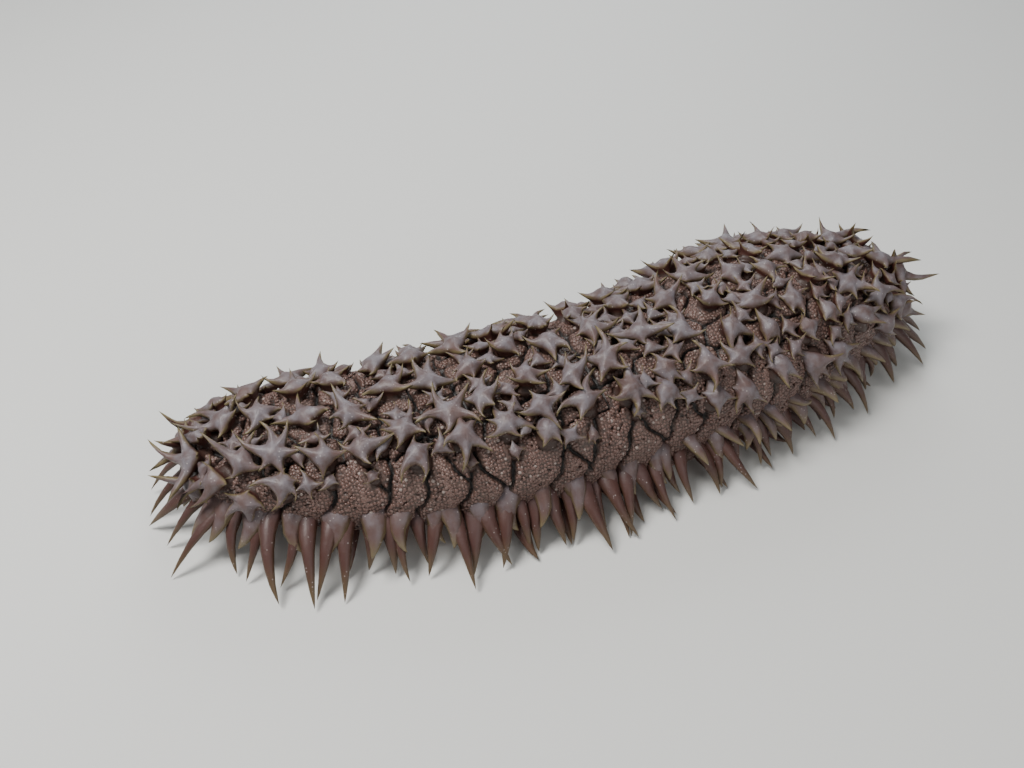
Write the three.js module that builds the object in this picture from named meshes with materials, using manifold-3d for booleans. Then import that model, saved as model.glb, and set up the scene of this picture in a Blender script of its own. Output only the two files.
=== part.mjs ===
// A sea cucumber of the star-papilla kind, lying on its sole: body wall in lengths with its star
// papillae and fringe, sole with tube feet, mouth with its tentacles, and vent. Millimetres, +Z up,
// head towards -X, floor at Z = 0.
import * as THREE from "three";
import { mergeVertices } from "three/addons/utils/BufferGeometryUtils.js";
import Module from "manifold-3d";

const wasm = await Module();
wasm.setup();

// Body: driving dimensions
const BODY_LENGTH = 440;
const END_ROUNDING = 2.6;
const HALF_WIDTH = 50;
const BACK_HEIGHT = 72;
const GIRTH_HEIGHT = 34;
const SOLE_UNDERSIDE = 4;
const BODY_BASE = 9;
const ARCH_SQUARENESS = 2.2;
const UNDERSIDE_SQUARENESS = 3.2;
const HUMP_AT = 0.56;
const HUMP_REACH = 0.35;
const GAP = 0.3;
const GIRTH_FACETS = 20;
const RINGS = 2;
const END_RINGS = 4;
const FRONT_FACE = -219.3;
const VENT_SEAT = 217.8;
// The middle of the whole model's outline, which is moved to the origin
const MIDDLE_X = -1.4;
const MIDDLE_Y = 10.75;

// Lengths of the body and of the sole, front to rear, and the cuts between them
const BODY_NAMES = ["front_end", "fore_body", "fore_middle", "hind_middle", "hind_body", "rear_end"];
const CUTS = [-150, -80, -10, 60, 130];
const SOLE_NAMES = ["sole_fore", "sole_fore_middle", "sole_hind_middle", "sole_hind"];
const SOLE_CUTS = [-154, -77, 0, 77, 154];
const CUT_MARGIN = 0.65;

// Star papillae, in rows from flank to flank
const ROW_SPACING = 23.4;
const FRONT_ROWS = { count: 5, first: 1.1 };
const REAR_ROWS = { count: 5, first: 2.1 };
const STAR_SPACING = 20.5;
const FLANK_EDGE = 14;
const END_EDGE = 1;
const STAR_REACH = 14;
const STAR_HEIGHT = 8.6;
const CROWN_RISE = 2.6;
const WEB_RADIUS = 5.8;
const STALK_RADIUS = 4.6;
const ROOT_RADIUS = 6.8;
const ROOT_DEPTH = 3;

// Fringe of long papillae: pairs that spread apart at the girth and single ones below them
const PAIR = { level: 24.5, spacing: 19, length: 36, radius: 4, apart: 4.3, spread: 18, bow: 5 };
const FINGER = { level: 14, spacing: 14, length: 31, radius: 3.8, apart: 0, spread: 0, bow: 2 };
const FINGER_FACETS = 4;
const FINGER_ROOT = 3.5;
const TIP_HEIGHT = 1;

// Tube feet
const FOOT_RADIUS = 1.8;
const FOOT_FLARE = 2.7;
const FOOT_FACETS = 5;
const FOOT_SPACING = 19;
const FOOT_COLUMNS = 5;
const FOOT_SPREAD = 0.62;

// Mouth and vent
const MOUTH_X = -186;
const MOUTH_HEIGHT = 13;
const MOUTH_RADII = [24, 25, 18];
const DOME_HEIGHT = 21;
const TENTACLE_RINGS = [
  { radius: 10.5, count: 8, foot: 3 },
  { radius: 17, count: 12, foot: 1.5 },
];
const TENTACLE_FACETS = 5;
const VENT_HEIGHT = 36.2;
const VENT_RADII = [12, 8.6];
const VENT_PIT = 4;

const SKIN = 0x7a5f55;
const SOLE_SKIN = 0xa4664f;
const MOUTH_SKIN = 0x5b3b33;

const clamp = THREE.MathUtils.clamp;
const lerp = THREE.MathUtils.lerp;
const rad = THREE.MathUtils.degToRad;
const smooth = (x, from, to) => THREE.MathUtils.smoothstep(x, from, to);
const signedPower = (v, p) => Math.sign(v) * Math.abs(v) ** p;

// A repeatable number from 0 to 1 for a place in the pattern
function chance(row, place, use) {
  const wave = Math.sin(row * 127.1 + place * 311.7 + use * 74.7) * 43758.5453;
  return wave - Math.floor(wave);
}

// The same, from -1 to 1
const swing = (row, place, use) => 2 * chance(row, place, use) - 1;

// Body shape, with t from -1 at the front to 1 at the rear
const alongOf = (x) => (2 * x) / BODY_LENGTH;
const hump = (t) => Math.exp(-(((t - HUMP_AT) / HUMP_REACH) ** 2));
const halfWidth = (t) => HALF_WIDTH - 5 * t + 5 * t * t + 13 * hump(t);
const backHeight = (t) => BACK_HEIGHT + 7 * t + 8 * hump(t);
const bend = (t) => 47 * t ** 2 - 19 * t ** 3 - 23 * t ** 4;
const endTaper = (t) => Math.max(0, 1 - Math.abs(t) ** END_ROUNDING) ** (1 / END_ROUNDING);

// Angle round an end, 0 at its tip and 90 degrees at the middle of the body, and back from it
const angleOf = (x) => Math.acos(Math.abs(alongOf(x)) ** (END_ROUNDING / 2));
const atAngle = (angle) => (BODY_LENGTH / 2) * signedPower(Math.cos(angle), 2 / END_ROUNDING);

// A point of the body wall. turn goes round it: 0 at the far side, 90 degrees on the back
function wallPoint(x, turn) {
  const t = alongOf(x);
  const taper = endTaper(t);
  const up = Math.sin(turn) >= 0;
  const power = 2 / (up ? ARCH_SQUARENESS : UNDERSIDE_SQUARENESS);
  const rise = up ? backHeight(t) - GIRTH_HEIGHT : GIRTH_HEIGHT - SOLE_UNDERSIDE;
  return new THREE.Vector3(
    x,
    halfWidth(t) * taper * signedPower(Math.cos(turn), power) + bend(t),
    GIRTH_HEIGHT + rise * taper * signedPower(Math.sin(turn), power),
  );
}

// Where a papilla stands: its root on the wall, the outward normal, rearward and sideways tangents
function seat(x, turn) {
  const step = 0.5;
  const root = wallPoint(x, turn);
  const rearward = wallPoint(x + step, turn).sub(wallPoint(x - step, turn));
  const around = wallPoint(x, turn + rad(step)).sub(wallPoint(x, turn - rad(step)));
  const normal = around.cross(rearward).normalize();
  const tangent = rearward.normalize();
  const side = normal.clone().cross(tangent);
  return { root, normal, tangent, side };
}

// A closed solid from its corners and faces
function solidFrom(corners, faces) {
  const mesh = new wasm.Mesh({
    numProp: 3,
    vertProperties: new Float32Array(corners.flatMap((c) => c.toArray())),
    triVerts: new Uint32Array(faces.flat()),
  });
  return new wasm.Manifold(mesh);
}

// A closed solid from a geometry
function solidOf(geometry) {
  const bare = geometry.clone();
  bare.deleteAttribute("normal");
  bare.deleteAttribute("uv");
  const merged = mergeVertices(bare, 1e-4);
  const mesh = new wasm.Mesh({
    numProp: 3,
    vertProperties: new Float32Array(merged.attributes.position.array),
    triVerts: new Uint32Array(merged.index.array),
  });
  return new wasm.Manifold(mesh);
}

// The geometry of a solid, of which only the largest closed surface is kept
function geometryOf(solid) {
  const bodies = solid.simplify(0.01).decompose();
  const largest = bodies.reduce((a, b) => (b.volume() > a.volume() ? b : a));
  const mesh = largest.getMesh();
  const geometry = new THREE.BufferGeometry();
  geometry.setAttribute("position", new THREE.BufferAttribute(mesh.vertProperties, mesh.numProp));
  geometry.setIndex(new THREE.BufferAttribute(mesh.triVerts, 1));
  return geometry;
}

// Moves each vertex of a geometry by a function of where it is
function reshape(geometry, place) {
  const positions = geometry.attributes.position;
  const v = new THREE.Vector3();
  for (let i = 0; i < positions.count; i++) {
    v.fromBufferAttribute(positions, i);
    const moved = place(v);
    positions.setXYZ(i, moved.x, moved.y, moved.z);
  }
  return geometry;
}

// The span of a length of the body between its cuts, and of an end out to its tip
function spanOf(k) {
  const from = k === 0 ? -Infinity : CUTS[k - 1] + GAP / 2;
  const to = k === CUTS.length ? Infinity : CUTS[k] - GAP / 2;
  return { from, to, front: k === 0, rear: k === CUTS.length };
}

// The wall of one length: a drum whose rings follow the body, flat where the sole joins it
function wallOf(span) {
  const from = span.front ? FRONT_FACE : span.from;
  const to = span.rear ? VENT_SEAT : span.to;
  const rounded = span.front || span.rear;
  const drum = new THREE.CylinderGeometry(1, 1, 1, GIRTH_FACETS, rounded ? END_RINGS : RINGS);
  return reshape(drum, (v) => {
    const share = clamp(v.y + 0.5, 0, 1);
    const angle = lerp(angleOf(from), angleOf(to), share);
    const inner = share === 0 ? from : share === 1 ? to : Math.sign(from) * atAngle(angle);
    const x = rounded ? inner : lerp(from, to, share);
    const onAxis = Math.hypot(v.x, v.z) < 0.5;
    if (onAxis) return new THREE.Vector3(x, bend(alongOf(x)), GIRTH_HEIGHT);
    const p = wallPoint(x, Math.atan2(v.x, v.z));
    p.z = Math.max(BODY_BASE, p.z);
    return p;
  });
}

// A star papilla from corners in its own seat: arms with a web between them, a crown, a stalk
// that widens to the root
function starOf(place, arms, span) {
  const { root, normal, tangent, side } = place;
  const corner = (angle, radius, height) => {
    const p = root.clone();
    p.addScaledVector(tangent, radius * Math.cos(angle));
    p.addScaledVector(side, radius * Math.sin(angle));
    p.addScaledVector(normal, height);
    p.x = clamp(p.x, span.from + CUT_MARGIN, span.to - CUT_MARGIN);
    return p;
  };
  const count = arms.length;
  const corners = arms.flatMap((arm, i) => {
    const next = arms[(i + 1) % count];
    const gap = (next.angle - arm.angle + 2 * Math.PI) % (2 * Math.PI);
    return [
      corner(arm.angle, arm.reach, arm.tip),
      corner(arm.angle + gap / 2, WEB_RADIUS, arm.height),
      corner(arm.angle, STALK_RADIUS, 0.45 * arm.height),
      corner(arm.angle, ROOT_RADIUS, -ROOT_DEPTH),
    ];
  });
  corners.push(corner(0, 0, arms[0].height + CROWN_RISE));
  const crown = 4 * count;
  const faces = arms.flatMap((_, i) => {
    const [tip, web, neck, foot] = [0, 1, 2, 3].map((n) => 4 * i + n);
    const webBefore = 4 * ((i + count - 1) % count) + 1;
    const nextNeck = 4 * ((i + 1) % count) + 2;
    const nextFoot = nextNeck + 1;
    return [
      [crown, tip, web],
      [crown, webBefore, tip],
      [web, tip, neck],
      [tip, webBefore, neck],
      [web, neck, nextNeck],
      [nextNeck, neck, foot],
      [nextNeck, foot, nextFoot],
    ];
  });
  for (let i = 1; i < count - 1; i++) faces.push([3, 4 * i + 7, 4 * i + 3]);
  return solidFrom(corners, faces);
}

// The arms of a star: longer and lower towards the floor on the flanks, longer outwards at the ends
function armsFor(row, column, x, turn, place) {
  const t = alongOf(x);
  const flank = smooth(Math.abs(Math.cos(turn)), 0.55, 0.95);
  const end = smooth(Math.abs(t), 0.72, 0.95);
  const downAngle = Math.atan2(-place.side.z, -place.tangent.z);
  const endAngle = t < 0 ? Math.PI : 0;
  const count = 4 + Math.floor(1.2 * chance(row, column, 4) + 1.2 * chance(row, column, 5));
  const height = (STAR_HEIGHT - 3.4 * flank) * (1 + 0.12 * swing(row, column, 6));
  const phase = chance(row, column, 7) * 2 * Math.PI;
  return Array.from({ length: count }, (_, i) => {
    const angle = phase + ((i + 0.22 * swing(row, column, 10 + i)) * 2 * Math.PI) / count;
    const down = Math.cos(angle - downAngle);
    const outward = Math.max(0, Math.cos(angle - endAngle));
    const longer = (1 + flank * (0.4 * down - 0.2)) * (1 + (t < 0 ? 0.55 : 0.25) * end * outward);
    const reach = STAR_REACH * (1 + 0.18 * swing(row, column, 20 + i)) * longer;
    const lift = (1 - flank) * (1.2 + 1.6 * swing(row, column, 30 + i)) - 1.4 * flank;
    return { angle, reach: Math.max(reach, 8.5), height, tip: height + lift + 2 * end * outward };
  });
}

// One row of stars from flank to flank, every other row shifted by half a place
function starsAcross(row, x, span) {
  const t = alongOf(x);
  const radius = Math.hypot(halfWidth(t), backHeight(t) - GIRTH_HEIGHT) * Math.SQRT1_2 * endTaper(t);
  const edge = rad(lerp(FLANK_EDGE, END_EDGE, smooth(Math.abs(t), 0.72, 0.95)));
  const arc = Math.PI - 2 * edge;
  const count = Math.max(3, Math.round((radius * arc) / STAR_SPACING));
  return Array.from({ length: count }, (_, column) => {
    const share = (column + (row % 2 ? 0.3 : 0.7)) / count;
    const turn = edge + arc * share + rad(3) * swing(row, column, 1);
    const along = x + (span.front || span.rear ? 1.2 : 2.6) * swing(row, column, 2);
    const place = seat(along, turn);
    return starOf(place, armsFor(row, column, along, turn, place), span);
  });
}

// Where the rows of stars stand in one length: evenly in the middle, by angle round an end
function rowsOf(span) {
  if (!span.front && !span.rear) {
    const count = Math.round((span.to - span.from) / ROW_SPACING);
    return Array.from({ length: count }, (_, i) => lerp(span.from, span.to, (i + 0.5) / count));
  }
  const { count, first } = span.front ? FRONT_ROWS : REAR_ROWS;
  const cut = span.front ? span.to : span.from;
  return Array.from({ length: count }, (_, i) => {
    const share = (i + first) / (count + first - 0.7);
    return Math.sign(cut) * atAngle(share * angleOf(cut));
  });
}

// A limb that tapers through rings to a point, closed at its root
function limbOf(rings, tip) {
  const facets = FINGER_FACETS;
  const axis = tip.clone().sub(rings[0].centre).normalize();
  const u = new THREE.Vector3(0, 0, 1).cross(axis).normalize();
  const v = axis.clone().cross(u);
  const corners = rings.flatMap(({ centre, radius }) =>
    Array.from({ length: facets }, (_, i) => {
      const angle = (2 * Math.PI * (i + 0.5)) / facets;
      return centre.clone().addScaledVector(u, radius * Math.cos(angle)).addScaledVector(v, radius * Math.sin(angle));
    }),
  );
  corners.push(tip);
  const last = (rings.length - 1) * facets;
  const faces = [];
  for (let i = 0; i < facets; i++) {
    const next = (i + 1) % facets;
    for (let ring = 0; ring < last; ring += facets) {
      faces.push([ring + i, ring + next, ring + facets + next]);
      faces.push([ring + i, ring + facets + next, ring + facets + i]);
    }
    faces.push([last + i, last + next, last + facets]);
    if (i > 0 && i < facets - 1) faces.push([0, i + 1, i]);
  }
  return solidFrom(corners, faces);
}

// How far forward and rearward the wall reaches at a level below the girth
function reachAt(level) {
  const taper = (GIRTH_HEIGHT - level) / (GIRTH_HEIGHT - SOLE_UNDERSIDE);
  return (BODY_LENGTH / 2) * (1 - taper ** END_ROUNDING) ** (1 / END_ROUNDING);
}

// A point of the margin at a level of the underside and its outward direction in plan. angle runs
// round the animal's outline, 0 at the rear and positive on the far side
function marginAt(angle, level) {
  const at = (a) => {
    const x = reachAt(level) * signedPower(Math.cos(a), 2 / END_ROUNDING);
    const taper = endTaper(alongOf(x));
    const drop = Math.min(1, (GIRTH_HEIGHT - level) / ((GIRTH_HEIGHT - SOLE_UNDERSIDE) * taper));
    const turn = -Math.asin(drop ** (UNDERSIDE_SQUARENESS / 2));
    return wallPoint(x, Math.sin(a) > 0 ? turn : Math.PI - turn);
  };
  const point = at(angle);
  const along = at(angle + 0.01).sub(at(angle - 0.01)).setZ(0).normalize();
  return { point, outward: new THREE.Vector3(along.y, -along.x, 0) };
}

// Angles evenly spaced along one side of the margin within the span of a length
function anglesIn(span, side, kind) {
  const steps = 400;
  const share = (x) => clamp(x / reachAt(kind.level), -1, 1);
  const first = Math.acos(signedPower(share(span.from), END_ROUNDING / 2));
  const last = Math.acos(signedPower(share(span.to), END_ROUNDING / 2));
  const angles = Array.from({ length: steps + 1 }, (_, i) => side * lerp(first, last, i / steps));
  const points = angles.map((a) => marginAt(a, kind.level).point);
  const walked = [0];
  for (let i = 1; i <= steps; i++) walked.push(walked[i - 1] + points[i].distanceTo(points[i - 1]));
  const count = Math.max(1, Math.round(walked[steps] / kind.spacing));
  return Array.from({ length: count }, (_, i) => {
    const goal = ((i + 0.5) / count) * walked[steps];
    return angles[walked.findIndex((w) => w >= goal)];
  });
}

// One finger of the fringe: out from the margin, bowed, and down to the floor without touching it
function fingerOf(kind, base, outward, sideways, length, span) {
  const heading = outward.clone().applyAxisAngle(new THREE.Vector3(0, 0, 1), sideways);
  const drop = base.z - TIP_HEIGHT;
  const run = Math.sqrt(Math.max(length ** 2 - drop ** 2, 15 ** 2));
  const keep = (p, radius) => {
    p.x = clamp(p.x, span.from + CUT_MARGIN + radius, span.to - CUT_MARGIN - radius);
    p.z = Math.max(p.z, radius + TIP_HEIGHT);
    return p;
  };
  const root = keep(base.clone().addScaledVector(outward, -FINGER_ROOT), kind.radius);
  const middle = base.clone().addScaledVector(heading, 0.42 * run);
  middle.z = lerp(base.z, TIP_HEIGHT, 0.42) + kind.bow;
  const tip = keep(base.clone().addScaledVector(heading, run).setZ(TIP_HEIGHT), 0);
  const rings = [
    { centre: root, radius: kind.radius },
    { centre: keep(middle, 0.78 * kind.radius), radius: 0.78 * kind.radius },
  ];
  return limbOf(rings, tip);
}

// The fringe of one kind along one length, on both sides and round the ends
function fringeOf(k, span, kind) {
  return [-1, 1].flatMap((side) => {
    return anglesIn(span, side, kind).flatMap((angle, i) => {
      const { point, outward } = marginAt(angle, kind.level);
      const aside = Math.abs(point.y - bend(alongOf(point.x)));
      if (kind === FINGER && span.front && aside < MOUTH_RADII[1] + 8) return [];
      const key = 40 + 10 * k + i;
      const ways = kind.apart ? [-1, 1] : [0];
      return ways.map((way) => {
        const use = 50 + 5 * way + side;
        const sideways = rad(kind.spread * way + 9 * swing(key, i, use));
        const length = kind.length * (1 + 0.14 * swing(key, i, use + 20));
        const alongside = new THREE.Vector3(-outward.y, outward.x, 0);
        const base = point.clone().addScaledVector(alongside, kind.apart * way);
        return fingerOf(kind, base, outward, sideways, length, span);
      });
    });
  });
}

const part = new THREE.Group();
part.position.set(-MIDDLE_X, -MIDDLE_Y, 0);

// Adds a named mesh in a colour of its own
function addNode(name, solid, colour, roughness) {
  const material = new THREE.MeshStandardMaterial({ color: colour, roughness, metalness: 0 });
  const mesh = new THREE.Mesh(geometryOf(solid), material);
  mesh.name = name;
  part.add(mesh);
}

// The hollow under the front end, less a margin
function hollowAt(shrink) {
  const [rx, ry, rz] = MOUTH_RADII.map((r) => r - shrink);
  const middleY = bend(alongOf(MOUTH_X));
  return reshape(new THREE.SphereGeometry(1, 14, 8), (v) =>
    new THREE.Vector3(MOUTH_X + rx * v.x, middleY + ry * v.y, MOUTH_HEIGHT + rz * v.z),
  );
}

// Half the width of the sole, where the underside of the wall comes down to it
function soleEdge(x) {
  const t = alongOf(x);
  const taper = endTaper(t);
  const power = UNDERSIDE_SQUARENESS;
  const drop = (GIRTH_HEIGHT - BODY_BASE) / ((GIRTH_HEIGHT - SOLE_UNDERSIDE) * taper);
  return halfWidth(t) * taper * Math.max(0.2, 1 - Math.min(drop, 1) ** power) ** (1 / power) - 1.5;
}

// A length of the sole: a flat pad under the wall, rounded towards its edges
function soleBetween(from, to) {
  return reshape(new THREE.BoxGeometry(1, 1, 1, 2, 3, 1), (v) => {
    const x = lerp(from, to, v.x + 0.5);
    const across = 2 * v.y;
    const z = v.z > 0 ? BODY_BASE - GAP : SOLE_UNDERSIDE + 2.5 * across ** 4;
    return new THREE.Vector3(x, across * soleEdge(x) + bend(alongOf(x)), z);
  });
}

// One tube foot: a stub that widens to its flat sucker on the floor
function footAt(x, y, row, column) {
  const height = SOLE_UNDERSIDE + 2.2;
  const foot = new THREE.CylinderGeometry(FOOT_RADIUS, FOOT_FLARE, height, FOOT_FACETS);
  foot.rotateX(Math.PI / 2);
  foot.rotateZ(chance(row, column, 3) * Math.PI);
  return solidOf(foot.translate(x, y, height / 2));
}

// The tube feet of one length of the sole, in columns that are shifted against each other
function feetBetween(from, to) {
  const rows = Math.round((to - from) / FOOT_SPACING);
  return Array.from({ length: rows * FOOT_COLUMNS }, (_, i) => {
    const row = Math.floor(i / FOOT_COLUMNS);
    const column = i % FOOT_COLUMNS;
    const shift = column % 2 ? 0.3 : 0.7;
    const x = lerp(from, to, (row + shift) / rows);
    const across = ((2 * column) / (FOOT_COLUMNS - 1) - 1) * FOOT_SPREAD * 1.25;
    return footAt(x, across * soleEdge(x) + bend(alongOf(x)), row, column);
  });
}

// One tentacle: a stalk from the dome of the mouth down to a cap like a small mushroom
function tentacleAt(x, y, foot) {
  const profile = [
    [0, DOME_HEIGHT + 2],
    [1.5, DOME_HEIGHT + 2],
    [1.3, foot + 4],
    [2.9, foot + 1.8],
    [0, foot],
  ].map(([r, z]) => new THREE.Vector2(r, -z));
  const lathe = new THREE.LatheGeometry(profile, TENTACLE_FACETS);
  lathe.rotateX(-Math.PI / 2);
  return solidOf(lathe.translate(x, y, 0));
}

// The mouth: the top of the hollow as a dome, with its rings of tentacles
function mouthOf() {
  const middleY = bend(alongOf(MOUTH_X));
  const above = new THREE.BoxGeometry(90, 90, 40).translate(MOUTH_X, middleY, DOME_HEIGHT + 20);
  const dome = solidOf(hollowAt(GAP)).intersect(solidOf(above));
  const tentacles = TENTACLE_RINGS.flatMap(({ radius, count, foot }, ring) =>
    Array.from({ length: count }, (_, i) => {
      const angle = (2 * Math.PI * (i + 0.5 * ring)) / count;
      const reach = radius + 0.5 * swing(ring, i, 80);
      const height = foot + 3.5 * chance(ring, i, 81);
      return tentacleAt(MOUTH_X + reach * Math.cos(angle), middleY + reach * Math.sin(angle), height);
    }),
  );
  return wasm.Manifold.union([dome, ...tentacles]);
}

// The vent: a low ring round a pit, on the flat seat at the rear
function ventOf() {
  const profile = [
    [0, 0],
    [1, 0],
    [0.95, 2],
    [0.6, 4.5],
    [VENT_PIT / VENT_RADII[0], 4],
    [0.2, 2],
    [0, 1.8],
  ].map(([r, z]) => new THREE.Vector2(r, z));
  const middleY = bend(alongOf(VENT_SEAT));
  return reshape(new THREE.LatheGeometry(profile, 12), (v) => {
    const y = middleY + v.z * VENT_RADII[0];
    return new THREE.Vector3(VENT_SEAT + GAP + v.y, y, VENT_HEIGHT + v.x * VENT_RADII[1]);
  });
}

BODY_NAMES.forEach((name, k) => {
  const span = spanOf(k);
  const rows = rowsOf(span);
  const stars = rows.flatMap((x, i) => starsAcross(6 * k + i, x, span));
  const fringe = [...fringeOf(k, span, PAIR), ...fringeOf(k, span, FINGER)];
  const wall = wasm.Manifold.union([solidOf(wallOf(span)), ...stars, ...fringe]);
  addNode(name, span.front ? wall.subtract(solidOf(hollowAt(0))) : wall, SKIN, 0.6);
});

SOLE_NAMES.forEach((name, k) => {
  const from = SOLE_CUTS[k] + GAP / 2;
  const to = SOLE_CUTS[k + 1] - GAP / 2;
  const pad = solidOf(soleBetween(from, to));
  addNode(name, wasm.Manifold.union([pad, ...feetBetween(from, to)]), SOLE_SKIN, 0.7);
});

addNode("mouth", mouthOf(), MOUTH_SKIN, 0.5);
addNode("vent", solidOf(ventOf()), MOUTH_SKIN, 0.5);

export default part;
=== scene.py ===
"""A star-papilla sea cucumber lying on its sole.

Its skin, pebbles, papillae, fringe, feet, mouth and vent are worked out in millimetres with the
head towards -X, and are placed in metres.
"""

import logging
import math
from dataclasses import dataclass, field, replace
from enum import Enum
from typing import Any

import bmesh
import bpy
import numpy as np
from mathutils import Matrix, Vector, noise


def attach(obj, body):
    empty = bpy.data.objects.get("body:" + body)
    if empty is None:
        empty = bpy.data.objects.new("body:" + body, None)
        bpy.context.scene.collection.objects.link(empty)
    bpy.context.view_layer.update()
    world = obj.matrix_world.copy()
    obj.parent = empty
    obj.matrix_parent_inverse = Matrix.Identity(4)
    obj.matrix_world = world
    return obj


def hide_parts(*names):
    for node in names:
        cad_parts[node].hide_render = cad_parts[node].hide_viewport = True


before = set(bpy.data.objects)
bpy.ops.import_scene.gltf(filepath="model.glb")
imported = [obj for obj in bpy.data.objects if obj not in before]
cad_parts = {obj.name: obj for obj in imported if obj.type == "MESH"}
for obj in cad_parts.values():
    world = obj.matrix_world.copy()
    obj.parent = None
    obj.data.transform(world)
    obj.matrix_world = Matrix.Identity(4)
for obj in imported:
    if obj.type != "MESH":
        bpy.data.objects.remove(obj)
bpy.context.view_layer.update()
LOG = logging.getLogger("sea_cucumber")
BAKE_MAP = "OFBake"

# Place of the part's source that is the frame's origin
MIDDLE = np.array([-1.4, 10.75, 0.0])

# Places along X of the cuts between the six lengths, and the gap between touching solids
CUTS = (-150.0, -80.0, -10.0, 60.0, 130.0)
LENGTH_NAMES = ("front_end", "fore_body", "fore_middle", "hind_middle", "hind_body", "rear_end")
GAP = 0.3

# Face that the vent sits on, and the hollow of the mouth: its middle, rim and half-axes
VENT_SEAT = 217.8
MOUTH_X = -186.0
MOUTH_HEIGHT = 13.0
MOUTH_RADII = (24.0, 25.0, 18.0)

# Radius of a full-grown papilla's stalk, and how far the feet reach along X each way
STALK = 5.0
FEET_REACH = 153.0

# How high the underside rises towards each end, and between which places along X
SOLE_LIFT = (16.0, 148.0, 190.0)


def chance(row: float, place: float, use: float) -> float:
    """A repeatable number from 0 to 1 for a place in the pattern."""
    wave = math.sin(row * 127.1 + place * 311.7 + use * 74.7) * 43758.5453
    return wave - math.floor(wave)


def swing(row: float, place: float, use: float) -> float:
    """The same, from -1 to 1."""
    return 2 * chance(row, place, use) - 1


def smooth(value: Any, low: float, high: float) -> Any:
    """A smooth step from 0 at low to 1 at high."""
    share = np.clip((value - low) / (high - low), 0.0, 1.0)
    return share * share * (3 - 2 * share)


def ease(value: float, low: float, high: float) -> float:
    """The same step for one number."""
    return float(smooth(value, low, high))


def signed_power(value: Any, power: float) -> Any:
    """A power that keeps the sign of its base."""
    return np.sign(value) * np.abs(value) ** power


def unit(vectors: np.ndarray) -> np.ndarray:
    """Vectors of length 1 along the last axis."""
    return vectors / np.maximum(np.linalg.norm(vectors, axis=-1, keepdims=True), 1e-12)


def noise_at(points: np.ndarray, size: float, seed: float) -> np.ndarray:
    """Smooth noise from about -1 to 1.

    Args:
        points: Places in millimetres, one a row.
        size: Size of the blotches in millimetres.
        seed: Shift that makes one field differ from another.

    Returns:
        One number for each point.
    """
    flat = (points.reshape(-1, 3) / size + seed).tolist()
    return np.array([noise.noise(p) for p in flat]).reshape(points.shape[:-1])


def even(count: int) -> np.ndarray:
    """Shares from 0 to 1 in even steps."""
    return np.linspace(0, 1, count)


def ring_angles(count: int) -> np.ndarray:
    """Angles in even steps round a ring."""
    return 2 * math.pi * np.arange(count) / count


def running(steps: np.ndarray) -> np.ndarray:
    """How far each point is from the first, from the steps between them."""
    return np.concatenate([[0.0], np.cumsum(steps)])


def walk(points: np.ndarray) -> np.ndarray:
    """How far along a line of points each one is."""
    return running(np.linalg.norm(np.diff(points, axis=0), axis=1))


def sole_lift(x: Any) -> Any:
    """How far the underside rises towards the ends of the body."""
    height, low, high = SOLE_LIFT
    return height * smooth(np.abs(x), low, high)


def lathe(middle: np.ndarray, radii: np.ndarray, heights: Any) -> np.ndarray:
    """A surface round an upright axis.

    Args:
        middle: X and Y of the axis.
        radii: Radii, columns by rings.
        heights: Heights, which may vary by column too.

    Returns:
        The points, columns by rings by 3.
    """
    angle = ring_angles(len(radii))[:, None]
    x, y = middle[0] + radii * np.cos(angle), middle[1] + radii * np.sin(angle)
    return np.stack([x, y, np.broadcast_to(heights, x.shape)], axis=-1)


def linked(name: str, data: Any) -> bpy.types.Object:
    """A new object of the scene."""
    thing = bpy.data.objects.new(name, data)
    bpy.context.scene.collection.objects.link(thing)
    return thing


def mesh_of(bm: bmesh.types.BMesh, name: str) -> bpy.types.Mesh:
    """Writes a bmesh to a new mesh and frees it."""
    mesh = bpy.data.meshes.new(name)
    bm.to_mesh(mesh)
    bm.free()
    return mesh


@dataclass(frozen=True)
class Seat:
    """Where a papilla stands: its root and the directions it grows by."""

    root: np.ndarray
    normal: np.ndarray
    tangent: np.ndarray
    side: np.ndarray


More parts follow.
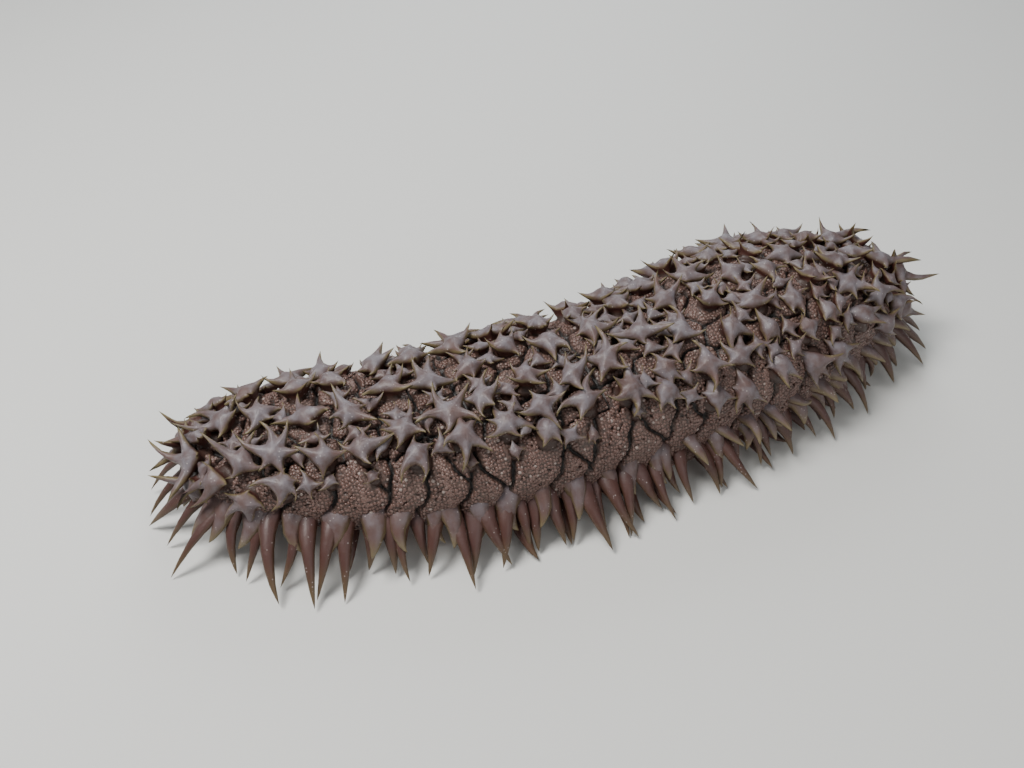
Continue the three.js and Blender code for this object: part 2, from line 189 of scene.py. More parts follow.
@dataclass(frozen=True)
class BodyShape:
    """The body wall without its papillae."""

    length: float = 440.0
    rounding: float = 2.6
    girth_height: float = 34.0
    underside: float = 4.0
    base: float = 9.0
    arch: float = 2.2
    belly: float = 3.2

    def along(self, x: Any) -> Any:
        """Place along the body, from -1 at the front to 1 at the rear."""
        return 2 * x / self.length

    def hump(self, t: Any) -> Any:
        """The swelling of the hind body."""
        return np.exp(-(((t - 0.56) / 0.35) ** 2))

    def half_width(self, t: Any) -> Any:
        """Half the width of the wall before it tapers."""
        return 50 - 5 * t + 5 * t * t + 13 * self.hump(t)

    def back_height(self, t: Any) -> Any:
        """Height of the back before it tapers."""
        return 72 + 7 * t + 8 * self.hump(t)

    def bend(self, t: Any) -> Any:
        """How far the middle line of the body lies off the X axis."""
        return 47 * t**2 - 19 * t**3 - 23 * t**4

    def middle_at(self, x: Any) -> Any:
        """The same, from a place along X."""
        return self.bend(self.along(x))

    def taper(self, t: Any) -> Any:
        """Share of the full girth, which rounds off the ends."""
        return np.maximum(0.0, 1 - np.abs(t) ** self.rounding) ** (1 / self.rounding)

    def angle_of(self, x: Any) -> Any:
        """Angle round an end, 0 at its tip and a right angle at the middle."""
        return np.arccos(np.abs(self.along(x)) ** (self.rounding / 2))

    def at_angle(self, angle: Any) -> Any:
        """The place along X of such an angle."""
        return self.length / 2 * signed_power(np.cos(angle), 2 / self.rounding)

    def wall(self, x: Any, turn: Any) -> np.ndarray:
        """Points of the wall.

        Args:
            x: Places along X in millimetres.
            turn: Angles round the body, 0 at the far side and a right angle on the back.

        Returns:
            The points, with X, Y and Z on the last axis.
        """
        x, turn = np.broadcast_arrays(np.asarray(x, float), np.asarray(turn, float))
        t = self.along(x)
        taper = self.taper(t)
        up = np.sin(turn) >= 0
        power = np.where(up, 2 / self.arch, 2 / self.belly)
        above, below = self.back_height(t) - self.girth_height, self.girth_height - self.underside
        rise = np.where(up, above, below)
        y = self.half_width(t) * taper * signed_power(np.cos(turn), power) + self.bend(t)
        z = self.girth_height + rise * taper * signed_power(np.sin(turn), power)
        return np.stack([x, y, z], axis=-1)

    def seat(self, x: float, turn: float) -> Seat:
        """The root and directions of a papilla at a place of the wall.

        Args:
            x: Its place along X.
            turn: Its angle round the body.

        Returns:
            The seat.
        """
        step = math.radians(0.5)
        rearward = self.wall(x + 0.5, turn) - self.wall(x - 0.5, turn)
        around = self.wall(x, turn + step) - self.wall(x, turn - step)
        normal = unit(np.cross(around, rearward))
        tangent = unit(rearward)
        return Seat(self.wall(x, turn), normal, tangent, np.cross(normal, tangent))

    def reach_at(self, level: float) -> float:
        """How far forward and rearward the wall reaches at a level below the girth."""
        share = (self.girth_height - level) / (self.girth_height - self.underside)
        return self.length / 2 * (1 - share**self.rounding) ** (1 / self.rounding)

    def margin(self, angle: float, level: float) -> tuple[np.ndarray, np.ndarray]:
        """A point of the margin and its outward direction in plan.

        Args:
            angle: Angle round the outline, 0 at the rear and positive on the far side.
            level: Height of the margin in millimetres.

        Returns:
            The point and the direction.
        """

        def at(a: float) -> np.ndarray:
            """The point at one angle."""
            x = self.reach_at(level) * signed_power(math.cos(a), 2 / self.rounding)
            full = (self.girth_height - self.underside) * float(self.taper(self.along(x)))
            fall = (self.girth_height - level) / max(full, 1e-9)
            turn = -math.asin(min(1.0, fall) ** (self.belly / 2))
            return self.wall(x, turn if math.sin(a) > 0 else math.pi - turn)

        along = at(angle + 0.01) - at(angle - 0.01)
        along[2] = 0
        along = unit(along)
        return at(angle), np.array([along[1], -along[0], 0.0])

    def turn_at(self, point: np.ndarray) -> float:
        """Angle round the body of a point of the margin, from its height and its side."""
        t = float(self.along(point[0]))
        full = (self.girth_height - self.underside) * float(self.taper(t))
        fall = (self.girth_height - point[2]) / max(full, 1e-6)
        turn = -math.asin(min(1.0, max(0.0, fall)) ** (self.belly / 2))
        return turn if point[1] > float(self.bend(t)) else math.pi - turn

    def sole_edge(self, x: Any) -> Any:
        """Half the width of the sole."""
        t = self.along(x)
        taper = np.maximum(self.taper(t), 1e-6)
        drop = (self.girth_height - self.base) / ((self.girth_height - self.underside) * taper)
        share = np.maximum(0.2, 1 - np.minimum(drop, 1.0) ** self.belly) ** (1 / self.belly)
        return self.half_width(t) * taper * share - 1.5


BODY = BodyShape()


@dataclass(frozen=True)
class Arm:
    """One arm of a star: its direction, reach and the height of its tip."""

    angle: float
    reach: float
    tip: float
    curl: float
    width: float = 1.0


@dataclass(frozen=True)
class Star:
    """One star papilla."""

    seat: Seat
    x: float
    turn: float
    height: float
    arms: tuple[Arm, ...]
    tone: float
    stalk: float = STALK

    @property
    def scale(self) -> float:
        """Its size against a full-grown one."""
        return self.stalk / STALK


@dataclass(frozen=True)
class Finger:
    """One finger of the fringe, from its root in the wall to its tip over the floor."""

    root: np.ndarray
    middle: np.ndarray
    tip: np.ndarray
    hook: np.ndarray
    radius: float
    tone: float
    place: tuple[float, float]


@dataclass(frozen=True)
class Span:
    """One length of the body between its cuts."""

    index: int
    start: float
    end: float

    @property
    def is_front(self) -> bool:
        """Whether this is the front end."""
        return self.index == 0

    @property
    def is_rear(self) -> bool:
        """Whether this is the rear end."""
        return self.index == len(CUTS)


@dataclass(frozen=True)
class Layer:
    """The sizes of one layer of the fringe.

    A layer of pairs has fingers that stand apart, in millimetres, and spread, in degrees.
    """

    level: float
    spacing: float
    length: float
    radius: float
    bow: float
    tip_height: float
    apart: float = 0.0
    spread: float = 0.0
    rearward: float = 0.5
    map_shift: float = 0.0
    grey: float = 0.0

    @property
    def is_low(self) -> bool:
        """Whether its tips come down to the floor."""
        return self.tip_height < 2


class FringeKind(Enum):
    """The layers of the fringe, and claws above it that are on the hind flank alone."""

    PAIR = Layer(24.5, 19.0, 36.0, 3.6, 5.0, 1.0, apart=2.8, spread=14.0, grey=0.2)
    SINGLE = Layer(14.0, 14.0, 31.0, 3.8, 2.0, 1.0, map_shift=0.025)
    CLAW = Layer(30.5, 13.5, 19.0, 4.4, 1.5, 15.0, rearward=0.6, map_shift=-0.025, grey=0.75)
    HIND = Layer(33.4, 16.0, 21.0, 4.1, 2.5, 25.0, rearward=0.8, map_shift=-0.05, grey=0.9)


@dataclass(frozen=True)
class Layout:
    """Where the papillae grow, which starts from the pattern of the solids."""

    row_spacing: float = 23.4
    star_spacing: float = 20.5
    flank_edge: float = 14.0
    end_edge: float = 1.0
    reach: float = 14.0
    height: float = 8.6
    finger_root: float = 6.0
    wart_height: float = 3.6
    wart_stalk: float = 2.6

    def spans(self) -> list[Span]:
        """The lengths of the body, front to rear."""
        starts = [-1e9, *[c + GAP / 2 for c in CUTS]]
        ends = [*[c - GAP / 2 for c in CUTS], 1e9]
        return [Span(k, a, b) for k, (a, b) in enumerate(zip(starts, ends))]

    def rows(self, span: Span) -> list[float]:
        """Places along X of the rows of stars in one length.

        Args:
            span: The length.

        Returns:
            The places.
        """
        if not span.is_front and not span.is_rear:
            count = math.floor((span.end - span.start) / self.row_spacing + 0.5)
            return [span.start + (span.end - span.start) * (i + 0.5) / count for i in range(count)]
        count, first = 5, 1.1 if span.is_front else 2.1
        cut = span.end if span.is_front else span.start
        whole = float(BODY.angle_of(cut))
        shares = [(i + first) / (count + first - 0.7) for i in range(count)]
        return [math.copysign(float(BODY.at_angle(share * whole)), cut) for share in shares]

    def arms(
        self, row: int, column: int, x: float, turn: float, seat: Seat
    ) -> tuple[float, tuple[Arm, ...]]:
        """The height and the arms of one star.

        Args:
            row: Number of its row.
            column: Its place in the row.
            x: Its place along X.
            turn: Its angle round the body.
            seat: Where it stands.

        Returns:
            The height of its web over the wall, and its arms.
        """
        t = float(BODY.along(x))
        flank = ease(abs(math.cos(turn)), 0.55, 0.95)
        end = ease(abs(t), 0.72, 0.95)
        down_angle = math.atan2(-seat.side[2], -seat.tangent[2])
        end_angle = math.pi if t < 0 else 0.0
        count = 4 + math.floor(1.2 * chance(row, column, 4) + 1.2 * chance(row, column, 5))
        hump = float(BODY.hump(t))
        height = (self.height - 2.6 * flank) * (1 + 0.17 * swing(row, column, 6))
        height *= 1 - 0.3 * hump
        size = (1 + 0.13 * swing(row, column, 9)) * (1 - 0.06 * hump)
        if flank > 0.45 and -0.52 + 0.12 * swing(row, column, 3) < t and end < 0.5:
            hind = ease(t, 0.05, 0.6)
            height += 1.5 * hind
            return height, self.claws(row, column, height, down_angle * (1 - 0.42 * hind), hind)
        phase = chance(row, column, 7) * 2 * math.pi
        arms = []
        for i in range(count):
            angle = phase + (i + 0.27 * swing(row, column, 10 + i)) * 2 * math.pi / count
            down = math.cos(angle - down_angle)
            outward = max(0.0, math.cos(angle - end_angle))
            longer = 1 + (0.65 if t < 0 else 0.55) * end * outward
            longer = (1 + flank * (0.4 * down - 0.2)) * longer
            reach = self.reach * size * (1.05 + 0.3 * swing(row, column, 20 + i)) * longer
            lift = 1.6 + 0.6 * hump + (4.2 + 2.0 * hump) * swing(row, column, 30 + i)
            lift = (1 - flank) * lift - 1.4 * flank
            lift += 2.4 * ease(math.cos(turn), 0.15, 0.5)
            at_end = 3.0 * ease(abs(t), 0.88, 0.99)
            lift += end * outward * (7.5 + 3.0 * swing(row, column, 40 + i)) + at_end
            side_on = ease(abs(math.cos(turn)), 0.25, 0.6) * max(0.0, down)
            curl = 0.55 * swing(row, column, 60 + i)
            reach = min(max(reach, 8.5), 25.0)
            arms.append(Arm(angle, reach, height + lift - 3.0 * side_on, curl))
        return height, tuple(arms)

    def claws(
        self, row: int, column: int, height: float, down_angle: float, hind: float
    ) -> tuple[Arm, ...]:
        """Arms of a papilla on the flank: a ridge up the wall, and claws that point down.

        Args:
            row: Number of its row.
            column: Its place in the row.
            height: Height of its web.
            down_angle: The direction that leads down the wall.
            hind: 0 in the fore body, and 1 where the claws are long.

        Returns:
            The arms.
        """
        turns = ((-0.5, 0.5), (-0.85, 0.0, 0.85), (0.0, 1.5))[int(2.7 * chance(row, column, 46))]
        aside = 0.35 * swing(row, column, 47)
        arms = []
        for i, turn in enumerate(turns):
            reach = 11.8 + 1.8 * swing(row, column, 48 + i) + 4.0 * hind
            tip = height + 0.6 + 1.4 * swing(row, column, 52 + i) + 2.5 * hind
            curl = 0.25 * swing(row, column, 56 + i)
            arms.append(Arm(down_angle + turn + aside, reach, tip, curl))
        ridge = down_angle + math.pi + 0.5 * aside
        arms.append(Arm(ridge, 12.5 + 2.5 * chance(row, column, 58), -1.4, 0.0, 1.6))
        if chance(row, column, 59) < 0.5:
            arms.append(Arm(ridge + 1.0, 9.0, -0.4, 0.0, 1.3))
        return tuple(arms)

    def lean(self, seat: Seat, row: float, column: float, x: float, turn: float) -> Seat:
        """Tips a papilla off the upright, upwards where it stands on the shoulder of the flank.

        Args:
            seat: Where it stands.
            row: Number of its row.
            column: Its place in the row.
            x: Its place along X.
            turn: Its angle round the body.

        Returns:
            The tipped seat.
        """
        side_on, t = abs(math.cos(turn)), float(BODY.along(x))
        up = 0.58 * (ease(side_on, 0.12, 0.5) * (1 - ease(side_on, 0.8, 0.97)))
        tilt = 0.27 + 0.15 * ease(t, 0.0, 0.5)
        aslant = swing(row, column, 101) * seat.tangent + swing(row, column, 102) * seat.side
        normal = seat.normal + tilt * aslant
        normal = unit(normal + np.array([0.0, 0.0, up * (1 - ease(abs(t), 0.75, 0.95))]))
        tangent = unit(seat.tangent - (seat.tangent @ normal) * normal)
        return Seat(seat.root, normal, tangent, np.cross(normal, tangent))

    def raised(self, turn: float, t: float) -> tuple[float, bool]:
        """Moves the lowest papillae of the fore body up, off the bare skin over the fringe.

        Args:
            turn: Angle round the body.
            t: Place along the body.

        Returns:
            The new angle, and whether the papilla is so low that it is only a wart.
        """
        above = math.degrees(min(turn, math.pi - turn))
        fore = (1 - ease(t, 0.0, 0.45)) * (1 - ease(-t, 0.7, 0.86))
        lift = math.radians(13.0 * (1 - ease(above, 26.0, 66.0)) * fore)
        is_wart = above < 25.5 and fore > 0.6
        return turn + lift * (1 if turn < math.pi / 2 else -1), is_wart

    def stars(self, span: Span) -> list[Star]:
        """The stars of one length, every other row shifted by half a place.

        Args:
            span: The length.

        Returns:
            The stars.
        """
        found = []
        for i, x in enumerate(self.rows(span)):
            row = 6 * span.index + i
            t = float(BODY.along(x))
            high = float(BODY.back_height(t)) - BODY.girth_height
            radius = math.hypot(float(BODY.half_width(t)), high) * math.sqrt(0.5)
            radius *= float(BODY.taper(t))
            share = ease(abs(t), 0.72, 0.95)
            edge = math.radians(self.flank_edge + (self.end_edge - self.flank_edge) * share)
            arc = math.pi - 2 * edge
            count = max(3, math.floor(radius * arc / self.star_spacing + 0.5))
            for column in range(count):
                place = (column + (0.3 if row % 2 else 0.7)) / count
                turn = edge + arc * place + math.radians(3) * swing(row, column, 1)
                turn, is_wart = self.raised(turn, t)
                along = x + (1.2 if span.is_front or span.is_rear else 2.6) * swing(row, column, 2)
                seat = BODY.seat(along, turn)
                height, arms = self.arms(row, column, along, turn, seat)
                stalk = STALK
                if is_wart:
                    height, stalk = self.wart_height, self.wart_stalk
                    arms = tuple(
                        replace(arm, reach=0.45 * arm.reach, tip=height + 0.3 * k)
                        for k, arm in enumerate(arms)
                    )
                tipped = self.lean(seat, row, column, along, turn)
                tone = chance(row, column, 8)
                found.append(Star(tipped, along, turn, height, arms, tone, stalk))
        return found

    def angles(self, span: Span, side: int, kind: FringeKind) -> list[float]:
        """Angles evenly spaced along one side of the margin within one length.

        Args:
            span: The length.
            side: 1 on the far side and -1 on the near side.
            kind: The layer of the fringe.

        Returns:
            The angles.
        """
        level, steps = kind.value.level, 400
        reach = BODY.reach_at(level)

        def angle_at(x: float) -> float:
            """The angle of a cut, or of an end."""
            share = min(max(x / reach, -1.0), 1.0)
            return math.acos(float(signed_power(share, BODY.rounding / 2)))

        first, last = angle_at(span.start), angle_at(span.end)
        angles = [side * (first + (last - first) * i / steps) for i in range(steps + 1)]
        walked = walk(np.array([BODY.margin(a, level)[0] for a in angles]))
        count = max(1, math.floor(walked[-1] / kind.value.spacing + 0.5))
        goals = [(i + 0.5) / count * walked[-1] for i in range(count)]
        return [angles[int(np.argmax(walked >= goal))] for goal in goals]

    def finger(
        self,
        layer: Layer,
        base: np.ndarray,
        outward: np.ndarray,
        sideways: float,
        key: float,
        use: float,
    ) -> Finger:
        """One finger, out from the margin, bowed, and down to the height of its tip.

        Args:
            layer: The sizes of its layer.
            base: Its place on the margin.
            outward: The outward direction in plan.
            sideways: The angle that it turns aside by, in radians.
            key: The number that its variation follows.
            use: The second such number.

        Returns:
            The finger.
        """
        length, low = layer.length * (1 + 0.2 * swing(key, use, 20)), layer.tip_height
        t = float(BODY.along(base[0]))
        near = base[1] < float(BODY.bend(t))
        rearward = layer.rearward * ease(t, -0.1, 0.5)
        sideways += rearward * abs(outward[1]) * (1 if near else -0.4)
        if near and abs(t) < 0.9:
            shorter = 0.1 * chance(key, use, 21) if layer.is_low else 0.0
            length *= 1 - 0.2 * ease(t, 0.0, 0.5) - shorter
        length *= 1 + 0.26 * ease(-t, 0.66, 0.86) * max(0.0, -outward[1])
        low += 2.5 * chance(key, use, 22) if layer.is_low else 3.5 * swing(key, use, 22)
        c, s = math.cos(sideways), math.sin(sideways)
        heading = np.array([c * outward[0] - s * outward[1], s * outward[0] + c * outward[1], 0.0])
        alongside = np.array([-heading[1], heading[0], 0.0])
        drop = base[2] - low
        run = math.sqrt(max(length**2 - drop**2, 10.0**2))
        middle = base + 0.42 * run * heading + 2.8 * swing(key, use, 23) * alongside
        bow = 1 + 0.4 * swing(key, use, 24) + 0.5 * ease(-t, 0.4, 0.8)
        middle[2] = base[2] + (low - base[2]) * 0.42 + layer.bow * bow
        middle[2] = max(middle[2], 0.78 * layer.radius + 1.0)
        tip = base + run * heading
        tip[2] = low
        root = base - self.finger_root * outward
        raised = 3.5 * ease(abs(t), 0.5, 0.8) * layer.is_low
        root[2] = max(root[2] + 1.8, layer.radius + 1.0) + raised
        girth = layer.radius * (1.06 + 0.24 * swing(key, use, 25))
        girth *= 0.9 + 0.04 * ease(abs(t), 0.5, 0.75)
        upwards = np.array([0.0, 0.0, 0.9 * chance(key, use, 28)])
        hook = 3.4 * swing(key, use, 27) * alongside + upwards
        place = (float(base[0]), BODY.turn_at(base))
        return Finger(root, middle, tip, hook, girth, chance(key, use, 26), place)

    def fringe(self, span: Span, kind: FringeKind) -> list[Finger]:
        """The fingers of one layer along one length, on both sides and round the ends.

        Args:
            span: The length.
            kind: The layer of the fringe.

        Returns:
            The fingers.
        """
        found, layer = [], kind.value
        for side in (-1, 1):
            clumps = np.array(self.angles(span, side, FringeKind.PAIR))
            for i, angle in enumerate(self.angles(span, side, kind)):
                if kind in (FringeKind.SINGLE, FringeKind.CLAW):
                    angle += 0.74 * float(clumps[np.abs(clumps - angle).argmin()] - angle)
                point, outward = BODY.margin(angle, layer.level)
                aside = abs(point[1] - float(BODY.middle_at(point[0])))
                t = float(BODY.along(point[0]))
                if kind is FringeKind.HIND and t < 0.12 + 0.1 * chance(i, side, 7):
                    continue
                if kind is FringeKind.SINGLE:
                    is_bare = abs(t) < 0.62 and chance(i, side, 8 + span.index) < 0.38
                    if is_bare or (span.is_front and aside < MOUTH_RADII[1] + 8):
                        continue
                key = 40 + 10 * span.index + i
                turned = 9 if layer.is_low else 22
                alongside = np.array([-outward[1], outward[0], 0.0])
                for way in (-1, 1) if layer.apart else (0,):
                    use = 50 + 5 * way + side
                    sideways = math.radians(layer.spread * way + turned * swing(key, i, use))
                    base = point + layer.apart * way * alongside
                    found.append(self.finger(layer, base, outward, sideways, key + 0.37 * i, use))
        return found


LAYOUT = Layout()


class Tube:
    """A grid rolled into a closed bag: column round it, ring along it from its root to its tip."""

    def __init__(self, columns: int, rings: int) -> None:
        """Rolls the grid and welds its seam and its two ends.

        Args:
            columns: Faces round the bag.
            rings: Faces from end to end.
        """
        bm = bmesh.new()
        bmesh.ops.create_grid(bm, x_segments=columns, y_segments=rings, size=0.5)
        layer = bm.loops.layers.uv.new(BAKE_MAP)
        for face in bm.faces:
            for loop in face.loops:
                angle = 2 * math.pi * (loop.vert.co.x + 0.5)
                out = 0.5 * (0.5 - loop.vert.co.y)
                loop[layer].uv = (out * math.cos(angle), out * math.sin(angle))
        for vert in bm.verts:
            angle, share = 2 * math.pi * (vert.co.x + 0.5), vert.co.y + 0.5
            out = 0.0 if min(share, 1 - share) < 1e-4 else 1.0
            vert.co = (out * math.cos(angle), out * math.sin(angle), share)
        bmesh.ops.remove_doubles(bm, verts=bm.verts, dist=1e-5)
        bmesh.ops.recalc_face_normals(bm, faces=bm.faces)
        at = np.array([v.co for v in bm.verts])
        turns = np.arctan2(at[:, 1], at[:, 0]) / (2 * math.pi) % 1.0
        self.column = np.rint(turns * columns).astype(int) % columns
        self.ring = np.rint(at[:, 2] * rings).astype(int)
        self.mesh = mesh_of(bm, "bag")
        self.disc = np.empty(2 * len(self.mesh.loops))
        self.mesh.uv_layers[BAKE_MAP].uv.foreach_get("vector", self.disc)
        self.disc = self.disc.reshape(-1, 2)


@dataclass
class Batch:
    """Many copies of tubes that become one mesh."""

    bm: bmesh.types.BMesh = field(default_factory=bmesh.new)
    points: list[np.ndarray] = field(default_factory=list)
    patches: list[np.ndarray] = field(default_factory=list)
    marks: dict[str, list[np.ndarray]] = field(default_factory=dict)

    def add(
        self, tube: Tube, shape: np.ndarray, patch: tuple[float, float, float], **marks: Any
    ) -> None:
        """Adds one copy.

        Args:
            tube: The tube that is copied.
            shape: Its points as columns by rings by 3, in millimetres.
            patch: Middle and size of its patch in the bake's map.
            marks: Attributes by name, as one number, one a ring or columns by rings.
        """
        self.bm.from_mesh(tube.mesh)
        self.points.append(shape[tube.column, tube.ring])
        middle = np.clip(np.array(patch[:2]), 0.5 * patch[2], 1 - 0.5 * patch[2])
        self.patches.append(tube.disc * patch[2] + middle)
        for name, values in marks.items():
            values = np.broadcast_to(values, shape.shape[:2]).astype(float)
            self.marks.setdefault(name, []).append(values[tube.column, tube.ring])

    def build(self, name: str) -> bpy.types.Object:
        """Joins the copies into one object in metres.

        Args:
            name: Name of the piece.

        Returns:
            The object, linked to the scene.
        """
        mesh = mesh_of(self.bm, name)
        mesh.vertices.foreach_set("co", ((np.concatenate(self.points) - MIDDLE) / 1000).ravel())
        mesh.uv_layers[BAKE_MAP].uv.foreach_set("vector", np.concatenate(self.patches).ravel())
        for key, values in self.marks.items():
            mark = mesh.attributes.new(key, "FLOAT", "POINT")
            mark.data.foreach_set("value", np.concatenate(values))
        mesh.update()
        mesh.shade_smooth()
        return linked(name, mesh)


@dataclass
class Skin:
    """One skin over the whole body, with a cell round each papilla and creases between cells."""

    rings: int = 412
    around: int = 226
    bulge: float = 2.6
    crease_depth: float = 2.4
    crease_width: float = 2.0
    valley_width: float = 3.2
    cell_stretch: float = 0.42
    furrow_spacing: float = 22.6
    furrow_level: float = 42.0

    def __post_init__(self) -> None:
        """Works out the surface as a grid of points, with its normals, creases and cells."""
        self.x = self.ring_places()
        self.turn = self.turn_places()
        self.wall = BODY.wall(self.x[:, None], self.turn[None, :])
        self.normal = self.grid_normals(self.wall)
        crease, self.cell = self.cells()
        self.open = self.above_sole()
        self.crease = crease * self.open
        out = (self.bulge * (0.62 - self.valley) - self.crease_depth * crease) * self.open
        out += 0.35 * noise_at(self.wall, 9.0, 3.7) * self.open
        ends = smooth(BODY.taper(BODY.along(self.x)), 0.02, 0.3)[:, None]
        self.points = self.wall + self.normal * (out * ends)[..., None]
        self.press_sole()
        self.hollow_mouth()
        self.final_normal = self.grid_normals(self.points)

    def ring_places(self) -> np.ndarray:
        """Places along X, even along the outline of the body."""
        angle = np.linspace(math.pi, 0.0, 4001)
        x = BODY.at_angle(angle)
        side = BODY.half_width(BODY.along(x)) * BODY.taper(BODY.along(x))
        walked = running(np.hypot(np.diff(x), np.diff(side)))
        return np.interp(np.linspace(0, walked[-1], self.rings + 1), walked, x)

    def turn_places(self) -> np.ndarray:
        """Angles round the body, close together above the margin and wider under it.

        Returns:
            The angles.
        """
        turn = np.linspace(-math.pi / 2, 1.5 * math.pi, 4001)
        ring = BODY.wall(np.full_like(turn, 40.0), turn)
        weight = np.where(ring[:, 2] > 14.0, 1.0, 0.42)
        steps = np.linalg.norm(np.diff(ring, axis=0), axis=1)
        walked = running(steps * 0.5 * (weight[1:] + weight[:-1]))
        return np.interp(np.linspace(0, walked[-1], self.around + 1), walked, turn)

    def grid_normals(self, grid: np.ndarray) -> np.ndarray:
        """Outward normals of a grid of points.

        Args:
            grid: The points, rings by angles by 3.

        Returns:
            The normals, as unit vectors.
        """
        along = np.gradient(grid, axis=0)
        around = np.gradient(grid, axis=1)
        around[:, 0] = around[:, -1] = grid[:, 1] - grid[:, -2]
        normal = unit(np.cross(around, along))
        normal[0], normal[-1] = (-1.0, 0.0, 0.0), (1.0, 0.0, 0.0)
        return normal

    def cells(self) -> tuple[np.ndarray, np.ndarray]:
        """Divides the skin into a cell for each papilla.

        Returns:
            How deep in a crease each point is, from 0 to 1, and the number of its cell.
        """
        stars = [star.seat.root for span in LAYOUT.spans() for star in LAYOUT.stars(span)]
        pairs, level = FringeKind.PAIR, FringeKind.PAIR.value.level
        for span in LAYOUT.spans():
            for side in (-1, 1):
                stars += [BODY.margin(a, level)[0] for a in LAYOUT.angles(span, side, pairs)]
        sites = np.array(stars)
        warp = np.stack([noise_at(self.wall, 14.0, seed) for seed in (11.0, 23.0, 37.0)], axis=-1)
        points = (self.wall + 3.6 * warp).reshape(-1, 3)
        flank = smooth(np.abs(np.cos(self.turn)), 0.35, 0.9)[None, :, None]
        down = np.gradient(self.wall, axis=1)
        down *= np.where(down[..., 2:] > 0, -1.0, 1.0)
        slant = unit(0.85 * unit(down) + np.array([-0.5, 0.0, 0.0]))
        slant = (slant * flank).reshape(-1, 3)
        keep = (1 - self.cell_stretch**2) * np.linalg.norm(slant, axis=1)[:, None]
        edge, cell = np.empty(len(points)), np.empty(len(points), int)
        for i in range(0, len(points), 8000):
            part = slice(i, i + 8000)
            gap = points[part, None, :] - sites[None]
            lean = np.einsum("ijk,ik->ij", gap, slant[part])
            far = np.sqrt(np.maximum((gap**2).sum(-1) - keep[part] * lean**2, 0.0))
            two = np.partition(far, 1, axis=1)
            edge[part] = two[:, 1] - two[:, 0]
            cell[part] = far.argmin(axis=1)
        shape = self.wall.shape[:2]
        on_back = (1 - smooth(np.abs(np.cos(self.turn)), 0.5, 0.8))[None, :].clip(0.05)
        edge = np.minimum(1.3 * edge.reshape(shape) / on_back, 2.0 * self.furrows())
        self.valley = np.exp(-edge / self.valley_width)
        return np.exp(-((edge / self.crease_width) ** 2)), cell.reshape(shape)

    def furrows(self) -> np.ndarray:
        """How far each point of the wall is from the nearest furrow down a flank, in millimetres.

        Each furrow slants towards the head on its way down, and a fork of it slants the other way.

        Returns:
            The distances, rings by angles.
        """
        x, y, z = np.moveaxis(self.wall, -1, 0)
        far_side = (y > BODY.middle_at(x)).astype(float)
        drop = z - self.furrow_level
        nowhere = 99.0
        nearest = np.full(x.shape, nowhere)
        flank = smooth(np.abs(np.cos(self.turn)), 0.3, 0.55)[None, :]
        for side in (0.0, 1.0):
            seed = 5.0 + 31.0 * side
            where = np.stack([x / 60.0, z, far_side], axis=-1)
            sway = 4.6 * noise_at(where, 13.0, seed) + 1.5 * noise_at(self.wall, 7.0, seed + 3)
            beside = np.where(far_side == side, 0.0, nowhere)
            for k in range(-9, 10):
                at = self.furrow_spacing * k + 3.5 * swing(k, side, 31)
                main = at + 0.38 * drop + sway
                slant, fork_level = 0.55 + 0.3 * chance(k, side, 32), 9 * swing(k, side, 33)
                fork = at - slant * np.maximum(drop - fork_level, -3.0) + sway
                split = -2.0 + fork_level if chance(k, side, 34) < 0.5 else nowhere
                for line, low in ((main, -nowhere), (fork, split)):
                    away = np.abs(x - line) + 3.0 * np.maximum(0.0, low - drop) + beside
                    nearest = np.minimum(nearest, away)
        return nearest + 12.0 * (1 - flank) + 5.0 * smooth(np.abs(x), 185.0, 210.0)

    def above_sole(self) -> np.ndarray:
        """1 on the back and flanks, and 0 on the underside."""
        return smooth(self.wall[..., 2], 13.0, 21.0)

    def press_sole(self) -> None:
        """Brings the underside down to the sole's own level over its length."""
        x, y, z = np.moveaxis(self.points, -1, 0)
        across = np.abs(y - BODY.middle_at(x)) / np.maximum(BODY.sole_edge(x), 1.0)
        level = 4.0 + 2.5 * np.minimum(across, 1.4) ** 4 + sole_lift(x)
        under = np.sin(self.turn)[None, :] < 0
        wrinkle = 0.5 * noise_at(self.points, 5.0, 8.1)
        self.points[..., 2] = np.where(under & (across < 1.3), np.minimum(z, level + wrinkle), z)

    def hollow_mouth(self) -> None:
        """Raises the underside at the front into the hollow of the mouth."""
        x, y, z = np.moveaxis(self.points, -1, 0)
        middle = BODY.middle_at(MOUTH_X)
        off = ((x - MOUTH_X) / MOUTH_RADII[0]) ** 2 + ((y - middle) / MOUTH_RADII[1]) ** 2
        roof = MOUTH_HEIGHT + MOUTH_RADII[2] * np.sqrt(np.maximum(0.0, 1 - off))
        under = np.sin(self.turn)[None, :] < 0
        self.inside = np.where(under & (off < 1.0) & (roof > z), 1 - off, 0.0)
        self.points[..., 2] = np.where(self.inside > 0, roof, z)

    def place_in_map(self, x: float, turn: float) -> tuple[float, float]:
        """Where a place of the wall lies on the skin's own unwrap."""
        turn = (turn + math.pi / 2) % (2 * math.pi) - math.pi / 2
        u = np.interp(x, self.x, even(len(self.x)))
        v = np.interp(turn, self.turn, even(len(self.turn)))
        return float(u), float(v)

